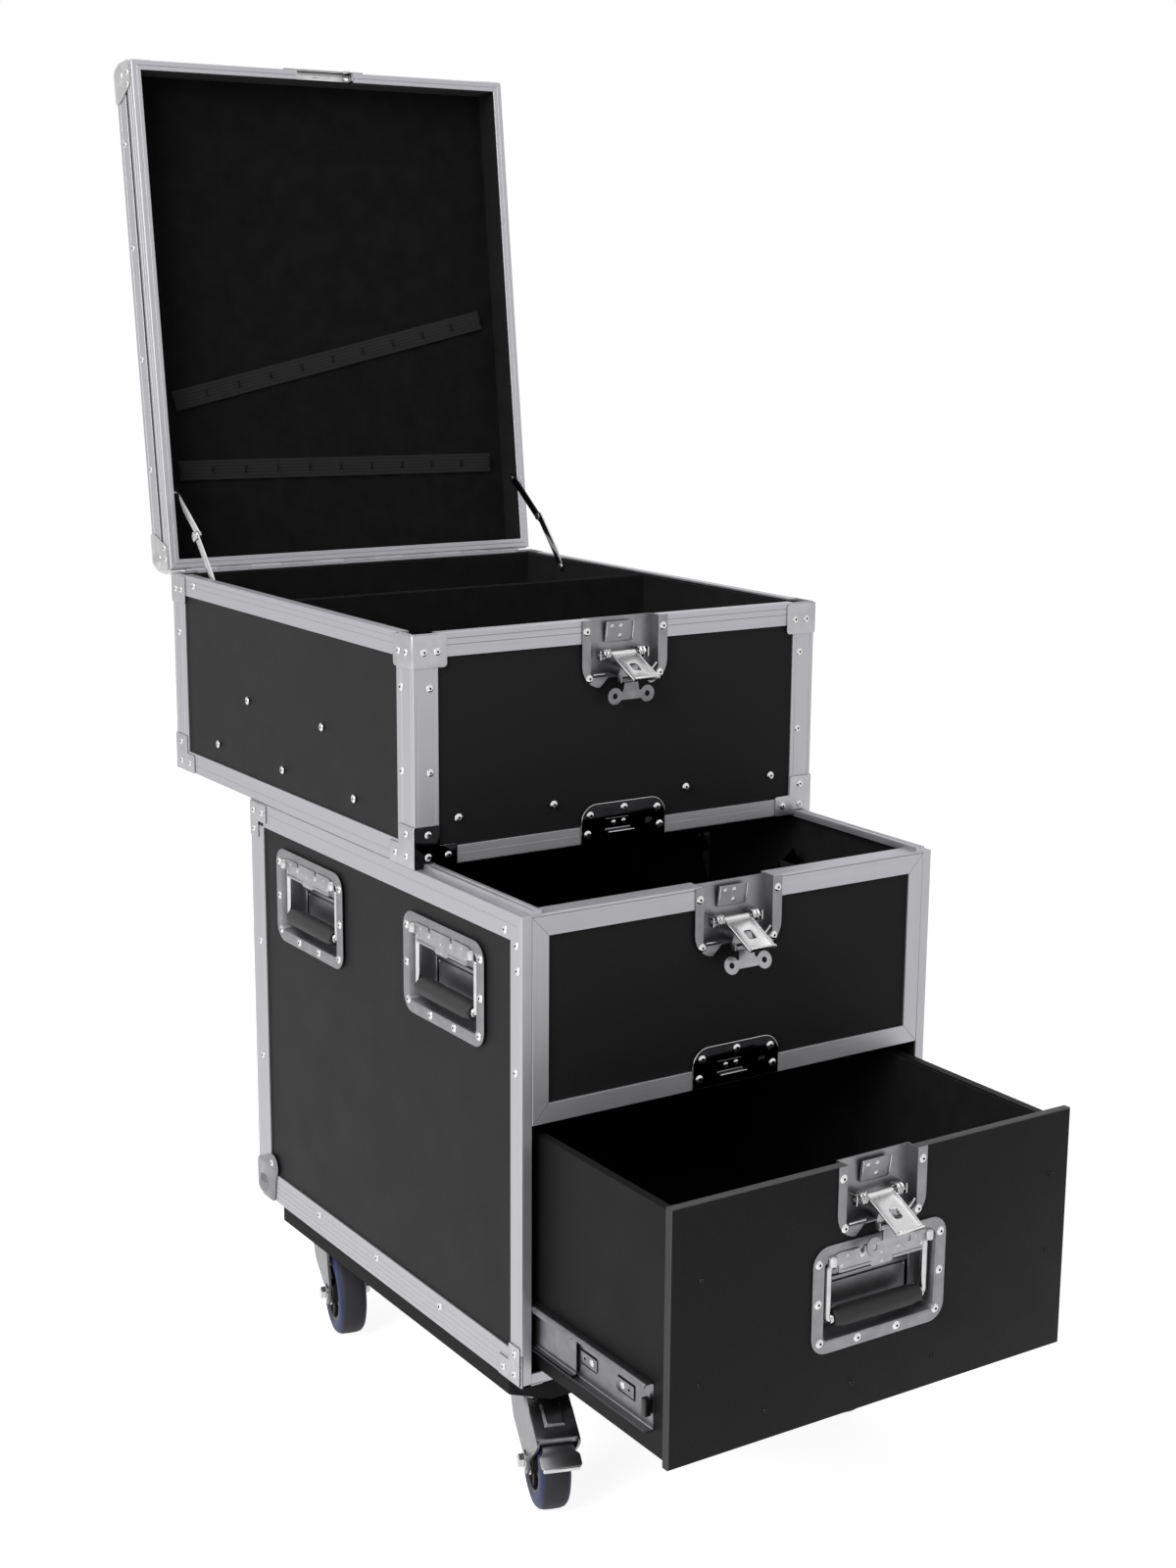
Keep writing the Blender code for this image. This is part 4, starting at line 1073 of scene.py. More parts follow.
def handle_studs():
    """The bright parts of the cover: rivet heads along it, and the barrels in which the bar's ends turn."""
    parts = []
    for x, z, radius in (
        (-23.5, 37, 3.4), (19.5, 37, 3.4), (-1, 34, 1.8), (-41, 40, 1.8), (40, 40, 1.8), (0, 25, 1.8),
        (-48, 31.5, 2), (48, 31.5, 2),
    ):
        parts.append(outward(dimple(radius), x, z, FACE - 1.3))
    for x in (-58, 58):
        barrel = turned([(0, -5.5), (2.8, -5.5), (4.2, -4.2), (4.6, 0), (4.2, 4.2), (2.8, 5.5), (0, 5.5)], 18)
        parts.append(moved(barrel, at(x, FACE - 0.6, 37.3)))
    return joined(parts)


def handle_arms():
    """The bar that carries the grip: an arm down each side, with a collar where it enters the grip."""
    parts = []
    for side in (-1, 1):
        near, far = side * 50, side * 58
        route = [(near, 0, 2), (far, 0, 2), (far, 0, BAIL_DROP), (near, 0, BAIL_DROP)]
        parts.append(wire(bent(route, 3.5), 3.6, 12))
        collar = along_x(turned([
            (0, 52.6), (4.6, 52.6), (5.2, 53.4), (5.2, 55.4), (4.4, 56.4), (0, 56.4),
        ], 18))
        parts.append(moved(collar, at(0, 0, BAIL_DROP) @ mirrored(side)))
    return joined(parts)


def handle_grip():
    profile = [(6.8, 52.4), (8.4, 50.6), (8.9, 45), (9.8, 41)]
    low = [(radius, -height) for radius, height in profile]
    grip = turned([(0, -52.4), *low, (10, 0), *reversed(profile), (0, 52.4)], 28)
    return moved(along_x(grip), at(0, 0, BAIL_DROP))


def handles():
    # The first model is a dark strip of painted shadow under the pocket's fold.
    models = (
        ("spring_handle_seam_", handle_shadow_strip(), DARK_STEEL_AND_SHADE), ("spring_handle_cover_", handle_cover(), BRUSHED),
        ("spring_handle_studs_", handle_studs(), BRIGHT),
    )
    dish, arms, grip = handle_dish(), handle_arms(), handle_grip()
    places = [("drawer", "drawer_handle_dish", DRAWER @ at(0, 0, DRAWER_HANDLE), "drawer")]
    for side, sign in (("left", -1), ("right", 1)):
        for end, (y, z) in HANDLE_SPOTS:
            name = "%s_%s" % (side, end)
            seat = CASE @ at(sign * HALF, y, z) @ turn_about("Z", sign * 90)
            places.append((name, "handle_dish_" + name, seat, "base"))
    for name, node, seat, body in places:
        bail = "drawer_bail" if name == "drawer" else "bail_" + name
        pivot = seat @ at(0, 4, 28)
        for start, model, finish in models:
            settle(model, start + name, seat, body, finish)
        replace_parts(settle(dish, "spring_handle_dish_" + name, seat, body, DISH), node)
        bar = settle(arms, "spring_handle_bar_" + name, pivot, bail, BRIGHT)
        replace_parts(bar, node.replace("dish", "bail"))
        settle(grip, "spring_handle_grip_" + name, pivot, bail, RUBBER)
        rivet_face(body, seat, (
            (-73, 37), (-73, -2), (-70, -41), (73, 37), (73, -2), (70, -41), (-25, -46), (22, -46),
        ), size=1.12)


# Butterfly latches, about the middle of their top edge

def latch_dish():
    """A round-bottomed flange round a pocket that is open at the top, with a notch for the wing."""
    inside, floor, notch = 42, -60, 20
    dish = standing((-53, -71.5), (53, -0.3))
    open_up(dish)
    choose("verts", lambda p, n: p.z < -70)
    ease(24, 6, "VERTICES")
    for point, way in (
        ((-inside, 0, 0), X), ((inside, 0, 0), X), ((0, 0, floor), Z), ((notch, 0, floor), (1, 0, 1)),
        ((-notch, 0, floor), (-1, 0, 1)),
    ):
        slice_at(point, way)
    choose("faces", lambda p, n: p.z < floor and abs(p.x) < notch + floor - p.z)
    bpy.ops.mesh.delete(type="FACE")
    choose("faces", lambda p, n: abs(p.x) < inside and p.z > floor)
    push(0, 14 - FACE, 0)
    choose("faces", lambda p, n: abs(n.z) > 0.9 and p.z > -1)
    bpy.ops.mesh.delete(type="FACE")
    choose("edges", lambda p, w: abs(w.y) > 0.9 and p.z < floor + NEAR and abs(p.x) > inside - NEAR)
    ease(5, 4)
    choose("edges", lambda p, w: (
        abs(p.y - FACE) < NEAR and abs(p.x) < inside + NEAR and p.z > floor - NEAR and abs(w.y) < 0.1))
    ease(1.2, 3)
    put_down()
    return thicken(dish, SHEET, edge=0.25)


def latch_plate():
    """The spring plate behind the hook, leaning out towards its foot."""
    return moved(cut_sheet(eased_loop([(-17, -22), (17, -22), (17, 0), (-17, 0)], 1.5), 1.4), PLATE_LEAN)


def latch_spring():
    """The plate's bright folded edges and rivets, the two coils, the pin's ends and the stops below."""
    parts = [moved(outward(dimple(2.8), x, z, -0.6), PLATE_LEAN) for x, z in ((-10, -5), (1, -5), (1, -15.5))]
    turns, turn_steps, coil_radius = 3.5, 14, 5.9
    for side in (-1, 1):
        low, high = sorted((side * 16, side * 17.2))
        parts.append(moved(eased_block((low, -2, -21.5), (high, 0.6, -0.5), 0.4), PLATE_LEAN))
        coil = []
        for step in range(int(turns * turn_steps) + 1):
            turn = 2 * math.pi * step / turn_steps
            coil.append((side * (17.5 + 2.2 * step / turn_steps), LATCH_PIN[1] + coil_radius * math.cos(turn),
                         LATCH_PIN[2] + coil_radius * math.sin(turn)))
        parts.append(wire(coil, 0.9, 8))
        lug = eased_block((29, -0.5, -43), (30.6, 14.5, -33), 0.5)
        for part in (moved(pin(2.2, 16, 31), at(*LATCH_PIN)), lug):
            parts.append(moved(part, mirrored(side)))
    parts.append(wire([(-40, -1.4, -57.4), (-20, -1.4, -57.4)], 1.1, 8))
    parts.append(wire([(20, -1.4, -57.4), (32, -1.4, -57.4), (39.4, -1.4, -50)], 1.1, 8))
    return joined(parts)


def latch_turn_boss():
    """The cam's spindle, and the small clevis in which the wing folds."""
    spindle = turned([(0, -14), (6.5, -14), (6.5, 2), (5.2, 2.6), (5.2, 8.2), (4.6, 9), (0, 9)], 20)
    plate = cut_sheet(eased_loop([(-14, -62), (14, -62), (9, -48), (-9, -48)], 3), SHEET)
    parts = [outward(spindle, 0, -54.8), moved(plate, at(0, -8, 0))]
    for side in (-1, 1):
        parts.append(moved(eased_block((12.6, -14.8, -66), (13.8, -7.6, -58), 0.5), mirrored(side)))
    return joined(parts)


def latch_hook():
    """The hook plate, pointing out (-y) from its pin, with folded edges, an end lip and a plain hole."""
    plate = blank(30, 46, (0, -26, 0.9))
    open_up(plate)
    choose("edges", lambda p, w: abs(w.y) > 0.9)
    push(0, 0, 1.5)
    choose("edges", lambda p, w: abs(w.x) > 0.9 and p.y < -48 and p.z < 1)
    push(0, 0, 4.4)
    choose("edges", lambda p, w: p.z < 1 and (abs(w.y) > 0.9 or p.y < -48))
    ease(0.7, 3)
    put_down()
    thicken(plate, 1.6, edge=0.25)
    hole = eased_loop([(-5, -33), (5, -33), (5, -20), (-5, -20)], 3)
    cut_away(plate, moved(cut_sheet(hole, 12), turn_about("X", -90)))
    tube = turned([(0, -15.5), (2.7, -15.5), (3.2, -15), (3.2, 15), (2.7, 15.5), (0, 15.5)], 18)
    return joined([plate, along_x(tube)])


def latch_wing():
    """The dumbbell turn handle, hanging down from its fold."""
    drop, reach, lobe, waist = -15.5, 20, 9, 4.5
    outline = [
        *arc((reach, drop), lobe, -150, 150, 14), (10, drop + waist), (8, -1),
        (-8, -1), (-10, drop + waist), *arc((-reach, drop), lobe, 30, 330, 14),
    ]
    holes = [arc((x, drop), 3, 0, 330, 11) for x in (-reach, reach)]
    return joined([cut_sheet(outline, 1.8, holes, edge=0.35), pin(2.4, -12, 12)])


def latches():
    dish, plate, spring, boss = latch_dish(), latch_plate(), latch_spring(), latch_turn_boss()
    hook, wing = latch_hook(), latch_wing()
    for name, seat, body, rest in (
        ("base", CASE @ at(0, 0, BASE_HEIGHT), "base", 18), ("lid", TOP @ at(0, 0, TOP_RIM), "top_case", 0),
        ("drawer", DRAWER @ at(0, 0, DRAWER_TOP), "drawer", 10),
    ):
        swing = seat @ at(*LATCH_PIN) @ turn_about("X", 27)
        fold = seat @ at(0, -12.5, -64) @ turn_about("X", -rest)
        settle(plate, "butterfly_spring_plate_" + name, seat, body, DISH)
        settle(spring, "butterfly_spring_" + name, seat, body, BRIGHT)
        settle(boss, "butterfly_turn_boss_" + name, seat, body, ZINC)
        # The lid's wing is the same zinc as the others, painted dark as a reflection.
        for part, model, place, rider, finish in (
            ("dish", dish, seat, body, DISH), ("hook", hook, swing, name + "_hook", RIVET_STEEL),
            ("wing", wing, fold, name + "_wing", DARK_REFLECTING_ZINC if name == "lid" else ZINC),
        ):
            made = settle(model, "butterfly_%s_%s" % (part, name), place, rider, finish)
            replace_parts(made, "%s_latch_%s" % (name, part))
        rivet_face(body, seat, ((-47.5, -12), (47.5, -12), (-44, -61), (44, -61)), size=1.1)


def keepers():
    """The arched plates that the hooks catch on, each with its rim, pressed lip and ledge, and a fold."""
    half, high, curve = 52.5, 42, 18
    outline = [(-half, 0.8), (half, 0.8), *arc((half - curve, high - curve), curve, 0, 90, 8)]
    outline += arc((curve - half, high - curve), curve, 90, 180, 8)
    plate = moved(cut_sheet(outline, SHEET), at(0, FACE + SHEET / 2, 0))
    rim = wire([(x, FACE + 0.4, z) for x, z in outline[1:] + outline[:1]], 0.65, 8)
    studs = [outward(dimple(2.9), x, z, FACE - 0.2) for x, z in ((-13, 20.5), (-0.5, 21))]
    lip = joined([eased_block((-20, -3.4, 9.4), (13, -1.2, 11.4), 0.6), *studs])
    crease = eased_block((-23, -1.9, 24.6), (6, -1.2, 25.5), 0.25)
    ledge = joined([eased_block((-24, -2.4, 11), (8, -1.2, 15), 0.5), crease])
    fold = eased_block((27, -2.6, 1.2), (36, -1.2, 21), 1.2)
    # The drawer and top keepers take the dark copy of their plate, a painted dark reflection; the lid's
    # keeper is bright.
    for name, seat, body, plated in (
        ("drawer", CASE @ at(0, 0, STRIP_OUTSIDE[1]), "base", DARK_REFLECTION_PLATE),
        ("top", TOP @ at(0, 0, TOP_FOOT), "top_case", DARK_REFLECTION_PLATE),
        ("lid", LID @ at(0, LID_FRONT, LID_FOOT), "lid", BRIGHT),
    ):
        for part, model, finish in (("rim", rim, BRIGHT), ("lip", lip, BRIGHT), ("ledge", ledge, DULL),
                                    ("fold", fold, plated)):
            settle(model, "arched_keeper_%s_%s" % (part, name), seat, body, finish)
        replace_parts(settle(plate, "arched_keeper_" + name, seat, body, plated), name + "_keeper")
        rivet_face(body, seat, ((-45, 10.5), (-42, 30.5), (0.5, 35), (42.5, 30.5), (46, 11.5)), size=1.15)


# Castors, about the foot of the swivel: z up along its axis, the wheel behind at -y

def castor_yoke(cheek_back):
    """The yoke: one sheet bent down on both sides, cut to the cheeks' shape. Only the back edge differs
    between the braked and the plain castors."""
    yoke = blank(2 * CHEEK, 160, (0, -20, -12.5))
    open_up(yoke)
    choose("edges", lambda p, w: abs(w.y) > 0.9)
    push(0, 0, -90)
    choose("edges", lambda p, w: abs(w.y) > 0.9 and p.z > -13)
    ease(5, 5)
    put_down()
    thicken(yoke, 2.5)
    cheek_front = [(30, -5), (35, -20), (31, -38), (17, -58)]
    outline = eased_loop([*cheek_front, *arc((-TRAIL, -AXLE_DROP), 14, 20, -200, 10), *cheek_back], 7, 3)
    cut_away(yoke, moved(cut_sheet(outline, 60), turn_about("Z", 90)), "INTERSECT")
    return yoke


def castor_head():
    """The swivel head: two pressed races with the ball gap between them, and the kingpin's nut."""
    race = turned([
        (0, -3.1), (25, -3.1), (27, -4.2), (27, -6.6), (25.5, -7.4), (25.5, -8.2), (27.2, -9), (27.2, -11.4),
        (25, -12.6), (0, -12.6),
    ], 36)
    return joined([race, turned([(0, -15), (9, -15), (9, -20), (8, -21), (0, -21)], 6)])


def axle_hardware():
    """A hexagon bolt head, its washers and the nut on the far side."""
    parts = []
    for side, high in ((-1, 7), (1, 6)):
        place = at(side * (CHEEK + 0.6), -TRAIL, -AXLE_DROP) @ turn_about("Y", side * 90)
        parts.append(moved(hex_bolt(across=15, high=high, washer=10), place))
    parts.append(moved(pin(4, -CHEEK, CHEEK, 16), at(0, -TRAIL, -AXLE_DROP)))
    return joined(parts)


def castor_hood():
    """The sloping dust hood over a braked wheel, with its pressed bump and its turned-down end."""
    hood = blank(43, 66, (0, -37, 0))
    open_up(hood)
    choose("edges", lambda p, w: abs(w.x) > 0.9 and p.y < -60)
    push(0, -1.5, -5)
    for point, way in (((-11, 0, 0), X), ((11, 0, 0), X), ((0, -56, 0), Y), ((0, -27, 0), Y)):
        slice_at(point, way)
    choose("faces", lambda p, n: abs(p.x) < 11 and -56 < p.y < -27)
    inset(0.4)
    inset(2)
    shift(0, 0, 3)
    choose("edges", lambda p, w: abs(p.z - 3) < NEAR)
    ease(1, 3)
    choose("edges", lambda p, w: abs(w.x) > 0.9 and abs(p.y + 70) < NEAR)
    ease(2, 4)
    put_down()
    return moved(thicken(hood, 1.8), at(0, -26, -1.5) @ turn_about("X", HOOD_SLOPE))


def castor_pedal():
    """The foot lever about its pivot, a flat tongue that widens into a tab, and the tab's turned edge."""
    tongue = [(-16, 0), (16, 0), (16, -35), (20.5, -39), (20.5, -53), (-20.5, -53), (-20.5, -39), (-16, -35)]
    plate = moved(cut_sheet(eased_loop(tongue, 4), 2.2, edge=0.6), turn_about("X", -90))
    lip = eased_block((-18.5, -54, -5.5), (18.5, -50.8, 0.5), 1)
    slope = turn_about("X", 31)
    return moved(joined([plate, pin(2.6, -19, 19)]), slope), moved(lip, slope)


def castor_tyre():
    """A cast elastic tyre: blue flanks and a darker worn tread."""
    flank = [(33, 15), (34.5, 16), (41, 16), (46, 14.6), (48.6, 12), (49.7, 8)]
    tyre = along_x(turned([*[(radius, -x) for radius, x in flank], (50, 0), *reversed(flank)], 48))
    two_finishes(tyre, TYRE, TREAD, lambda p, n: math.hypot(p.y, p.z) > 48.3)
    return tyre


def castor_hub():
    """A moulded hub with five shallow pockets in each flank, between its rim and its boss."""
    flank = [(8, 17.5), (13, 17.5), (14.5, 16), (14.8, 9), (29, 9.5), (30.5, 14.5), (33, 15.5)]
    parts = [turned([*[(radius, -x) for radius, x in flank], (33.6, 0), *reversed(flank)], 40)]
    for number in range(5):
        for side in (-1, 1):
            rib = eased_block((14, -1.6, 8), (31, 1.6, 13.5), 0.7)
            moved(rib, Matrix.Scale(side, 4, Z))
            parts.append(moved(rib, turn_about("Z", 72 * number)))
    return along_x(joined(parts))


def wheel_bearing():
    """The bright ball-race ends that show in the middle of the hub."""
    rings = []
    for side in (-1, 1):
        ring = turned([
            (4.6, 16.5), (15, 16.5), (15, 18.2), (13.4, 18.6), (12.6, 17.8), (7, 17.8), (6.6, 18.6),
            (4.6, 18.6),
        ], 28)
        rings.append(moved(ring, Matrix.Scale(side, 4, Z)))
    return along_x(joined(rings))


def top_plate():
    """The castor's bolted top plate, with four carriage bolts and their nuts."""
    plate = cut_sheet(eased_loop([(-36, -42), (36, -42), (36, 42), (-36, 42)], 8), 2.5)
    parts = [moved(moved(plate, turn_about("X", -90)), at(0, 0, -1.55))]
    for x in (-27, 27):
        for y in (-33, 33):
            bolt = hex_bolt(across=13, high=5.5, washer=9)
            parts.append(moved(bolt, at(x, y, -3.2) @ turn_about("X", 180)))
    return joined(parts)


def castors():
    braked = castor_yoke([(-60, -66), (-84, -46), (-93, -36), (-91, -32), (-30, -5)])
    plain = castor_yoke([(-52, -62), (-44, -38), (-40, -16), (-31, -5)])
    head, axle, plate, hood = castor_head(), axle_hardware(), top_plate(), castor_hood()
    pedal, pedal_edge = castor_pedal()
    tyre, hub, bearing = castor_tyre(), castor_hub(), wheel_bearing()
    for corner, x, y, turn, yoke in (
        ("front_left", -185, 74, -19, braked), ("rear_left", -180, 532, -13.6, plain),
        ("front_right", 185, 74, -16, braked), ("rear_right", 180, 532, -11, plain),
    ):
        foot = CASE @ at(x, y, -26.8)
        swivel = foot @ turn_about("Z", turn)
        middle = swivel @ at(0, -TRAIL, -AXLE_DROP)
        fork, wheel = "fork_" + corner, "wheel_" + corner
        for part, model, place, body, finish in (
            ("top_plate", plate, foot, "base", ZINC), ("swivel_head", head, swivel, fork, DULL_ZINC),
            ("axle_bolt", axle, swivel, fork, BRIGHT), ("hub", hub, middle, wheel, NYLON),
            ("bearing", bearing, middle, wheel, BRIGHT),
        ):
            settle(model, "castor_%s_%s" % (part, corner), place, body, finish)
        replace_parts(settle(yoke, "castor_yoke_" + corner, swivel, fork, DULL_ZINC), "castor_fork_" + corner)
        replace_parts(settle(tyre, "castor_tyre_" + corner, middle, wheel, TYRE), "castor_wheel_" + corner)
        if yoke is braked:
            side = corner.split("_")[1]
            body, pivot = "pedal_" + side, swivel @ at(0, -62, -26)
            # The hood is zinc painted dark, as a painted reflection.
            settle(hood, "castor_hood_" + side, swivel, fork, DARK_REFLECTING_ZINC)
            settle(pedal_edge, "brake_lever_edge_" + side, pivot, body, BRIGHT)
            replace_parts(settle(pedal, "brake_lever_" + side, pivot, body, ZINC), "brake_pedal_" + side)


# Drawer slides and the drawer's own front

def slide_member(plate_x, reach_x, half_height, curl, start):
    """A drawn C section on the right side: a web along y with two flanges and their rolled lips."""
    end = 565
    web = blank(2 * half_height, end - start, (plate_x, (start + end) / 2, SLIDE_MIDDLE), (0, math.pi / 2, 0))
    open_up(web)
    choose("edges", lambda p, w: abs(w.y) > 0.9)
    push(reach_x - plate_x, 0, 0)
    for side in (-1, 1):
        choose("edges", lambda p, w: (
            abs(w.y) > 0.9 and abs(p.x - reach_x) < NEAR and side * (p.z - SLIDE_MIDDLE) > 0))
        push(0, 0, -side * curl)
    choose("edges", lambda p, w: abs(w.y) > 0.9 and abs(abs(p.z - SLIDE_MIDDLE) - half_height) < NEAR)
    ease(1.8, 4)
    put_down()
    if reach_x < plate_x:
        web.data.flip_normals()
    return thicken(web, SHEET, edge=0.2)


def slide_windows(web):
    """Windows punched round tongues in the drawer's member, each tongue with a screw and a small hole."""
    parts, screws = [web], []
    facing_out = turn_about("Y", 90)
    for y, way in ((79.5, 1), (143, -1), (330, 1), (480, -1)):
        cut_away(web, eased_block((225, y - 14.5, 52), (231, y + 14.5, 68), 1))
        near, far = sorted((y - way * 12.8, y + way * 15))
        tongue = eased_block((228.5, near, 54), (229.4, far, 66), 0.25)
        hole = turned([(0, -1000), (1.5, -1000), (1.5, 1000), (0, 1000)], 12)
        cut_away(tongue, moved(hole, at(229, y - way * 5, SLIDE_MIDDLE) @ facing_out))
        parts.append(tongue)
        flat = at(229.4, y + way * 6, SLIDE_MIDDLE) @ facing_out @ Matrix.Diagonal((1, 1, 0.4, 1))
        screws.append(moved(cross_screw(3.8), flat))
    return joined(parts), joined(screws)


def slides():
    """Both slides: the case's outer member, the running centre one and the drawer's own, nested."""
    outer = slide_member(plate_x=240.1, reach_x=233.2, half_height=18.3, curl=2.0, start=15)
    centre = slide_member(plate_x=231.8, reach_x=236.6, half_height=19.8, curl=1.6, start=45.3)
    drawers_own = slide_member(plate_x=228.4, reach_x=237.4, half_height=22.6, curl=1.4, start=37)
    inner, screws = slide_windows(drawers_own)
    plug = eased_block((229.8, 37.4, 51), (236.8, 44.8, 68.5), 1.2)
    clip = wire(bent([
        (233, 13, 84), (238, 14, 92), (233, 16, 99), (237.5, 15, 104), (231, 13, 88), (234, 12.5, 80),
    ], 2.5), 0.6, 6)
    half_out = CASE @ Matrix.Translation((0, (DRAWER.translation.y - BASE_LOW.y) / 2, 0))
    for side, flip in (("right", Matrix()), ("left", MIRROR)):
        for part, model, place, body, finish in (
            ("screws", screws, DRAWER, "drawer", RIVET_STEEL), ("stop_plug", plug, DRAWER, "drawer", NYLON),
            ("retainer", clip, CASE, "base", ZINC),
        ):
            settle(model, "slide_%s_%s" % (part, side), place @ flip, body, finish)
        for part, model, place, body, node in (
            ("outer", outer, CASE, "base", "drawer_rail_"),
            ("centre", centre, half_out, "slide_middle", "drawer_slide_middle_"),
            ("inner", inner, DRAWER, "drawer", "drawer_slide_"),
        ):
            member = settle(model, "slide_%s_%s" % (part, side), place @ flip, body, DULL_ZINC)
            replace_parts(member, node + side)


def drawer_face():
    """The drawer's thick front board: chamfered edges worn lighter, and cut for its handle and latch."""
    half, low, high, thick = 237.9, 16.3, DRAWER_TOP, 9
    board = block((-half, 0, low), (half, thick, high))
    open_up(board)
    choose("edges", lambda p, w: p.y < NEAR)
    ease(0.9)
    choose("edges", lambda p, w: p.y > thick - NEAR)
    ease(0.5, 1)
    put_down()
    cut_away(board, block((-43.5, -10, high - 61.5), (43.5, 20, high + 10)))
    cut_away(board, block((-67.5, -10, DRAWER_HANDLE - 40.5), (67.5, 20, DRAWER_HANDLE + 40.5)))
    for finish in (FILM_PLY, WORN_EDGE, SCUFFED):
        board.data.materials.append(finish)
    for face in board.data.polygons:
        place, way = face.center / MM, face.normal
        if place.y < 1.2 and abs(way.y) < 0.98 and face.area < 0.002 or way.z > 0.9 and place.z > high - 0.1:
            face.material_index = 1
        elif abs(way.x) > 0.9 and abs(place.x) > half - 0.1:
            face.material_index = 2
    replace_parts(settle(board, "drawer_front_board", DRAWER, "drawer", FILM_PLY), "drawer_front")
    screws = [outward(cross_screw(2.6), x, z, 0.3) for x, z in (
        (-205, 190), (-205, 90), (-130, 45), (-30, 45), (70, 45), (215, 200), (215, 120))]
    settle(joined(screws), "drawer_front_screws", DRAWER, "drawer", DARK_STEEL_AND_SHADE)


# Rivets through the panels and rails, besides those of the brackets

def panel_rivets():
    for side in (-1, 1):
        way = X * side
        for body, place, spots in (
            ("base", CASE, (
                (31, 454), (10, 443), (8, 419), (12, 318), (572, 310), (573, 172), (434, 24), (297, 24),
                (160, 22.5))),
            ("top_case", TOP, (
                (388, 585), (203, 585), (472, 521), (301, 521), (131, 521), (25, 655), (25, 570), (575, 640),
                (530, 699))),
        ):
            rivet(body, place, [(side * HALF, y, z) for y, z in spots], way, size=1.12)
        rivet("lid", LID, [(side * HALF, LID_BACK - y, LID_TOP - 13) for y in (120, 250, 380, 500)], way)
        rivet("top_case", TOP, [(side * 231, 0, z) for z in (655, 570)], -Y)
    rivet("top_case", TOP, [(x, 0, 520.5) for x in (-199, -86, 81, 195)], -Y, size=1.15)
    rivet("top_case", TOP, [(x, DEPTH, 520.5) for x in (-195, -70, 70, 195)], Y, size=1.15)
    rivet("base", CASE, [(x, DEPTH, z) for x in (-150, 0, 150) for z in (17, 460)], Y, size=1.12)
    rivet("base", CASE, [(x, DEPTH, z) for x in (-236, 236) for z in (130, 240, 350)], Y, size=1.12)
    for y, way in ((LID_BACK, Y), (LID_FRONT, -Y)):
        rivet("lid", LID, [(x, y, LID_TOP - 13) for x in (-150, 150)], way)


# Folding lid stays, in the plane of the side walls

def stay_arm(start, end, kink):
    """A flat arm with round ends and a slight kink near its wall end. Its points are (y, z)."""
    way = (end - start).normalized()
    side = Vector((-way.y, way.x))
    half = 5
    bend = start.lerp(end, 0.24) + side * kink
    first = (bend - start).normalized()
    edge = Vector((-first.y, first.x))
    angle = math.degrees(math.atan2(way.y, way.x))
    first_angle = math.degrees(math.atan2(first.y, first.x))
    outline = [*arc(end, half, angle - 90, angle + 90, 8), bend + side * half]
    outline += [*arc(start, half, first_angle + 90, first_angle + 270, 8), bend - edge * half]
    holes = [arc(spot, 2.2, 0, 324, 9) for spot in (start, end)]
    return moved(cut_sheet(outline, 1.8, holes), turn_about("Z", 90))


def stays():
    """The arms and pins of the lid stays, modelled on the right."""
    back = Vector((DEPTH, TOP_RIM))
    low, elbow, high = (back + Vector(way) for way in ((-95, -12), (-44, 47), (20.3, 91.5)))
    lower = moved(stay_arm(low, elbow, kink=1.6), at(236.9, 0, 0))
    upper = moved(stay_arm(high, elbow, kink=-1.6), at(234.2, 0, 0))
    outline = [elbow + Vector(way) for way in ((-7, -3), (3, -9), (9, -3), (5, 4), (-2, 2))]
    tab = cut_sheet(eased_loop(outline, 2.5), 1.4)
    moved(tab, at(238.6, 0, 0) @ turn_about("Z", 90))
    rivet_head = turned([
        (0, -3.4), (4.4, -3.4), (4.4, -1.8), (2.1, -1.6), (2.1, 1.6), (4.2, 1.8), (3.4, 3), (0, 3.4),
    ], 18)
    elbow_rivet = moved(along_x(rivet_head), at(235.5, *elbow))
    stay_pin = along_x(turned([
        (0, -3.6), (3.4, -3.6), (4.3, -2.4), (4.3, -1.8), (2.1, -1.6), (2.1, 2.3), (0, 2.3),
    ], 16))
    low_pin, high_pin = another(stay_pin, at(238.2, *low)), moved(stay_pin, at(236.6, *high))
    for side, flip in (("right", Matrix()), ("left", MIRROR)):
        place = TOP @ flip
        upper_finish = DARK_STEEL_AND_SHADE if side == "right" else BRIGHT
        for part, model, body, finish in (
            ("elbow_rivet", elbow_rivet, "stay_low_", ZINC), ("elbow_tab", tab, "stay_low_", BRIGHT),
            ("low_pin", low_pin, "stay_low_", ZINC), ("high_pin", high_pin, "stay_high_", ZINC),
        ):
            settle(model, "stay_%s_%s" % (part, side), place, body + side, finish)
        set_lower = settle(lower, "stay_lower_arm_" + side, place, "stay_low_" + side, BRIGHT)
        set_upper = settle(upper, "stay_upper_arm_" + side, place, "stay_high_" + side, upper_finish)
        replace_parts(set_lower, "stay_lower_" + side)
        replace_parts(set_upper, "stay_upper_" + side)


# Felt linings, the divider and the lid's bands

def lining(name, low, high, place, body, cuts=(), mouth=1):
    """A thin felt skin inside a compartment with soft corners. Its mouth is up, or down when mouth is -1."""
    skin = block(low, high)
    open_up(skin)
    choose("faces", lambda p, n: n.z * mouth > 0.9)
    bpy.ops.mesh.delete(type="FACE")
    choose("edges", lambda p, w: (p.z - (low[2] + high[2]) / 2) * mouth < (high[2] - low[2]) / 2 - NEAR)
    ease(2.5, 3)
    choose_all()
    bpy.ops.mesh.flip_normals()
    put_down()
    wall(skin, 1, side=1)
    mended(skin)
    for cut_low, cut_high in cuts:
        cut_away(skin, block(cut_low, cut_high))
    settle(skin, name, place, body, FELT)


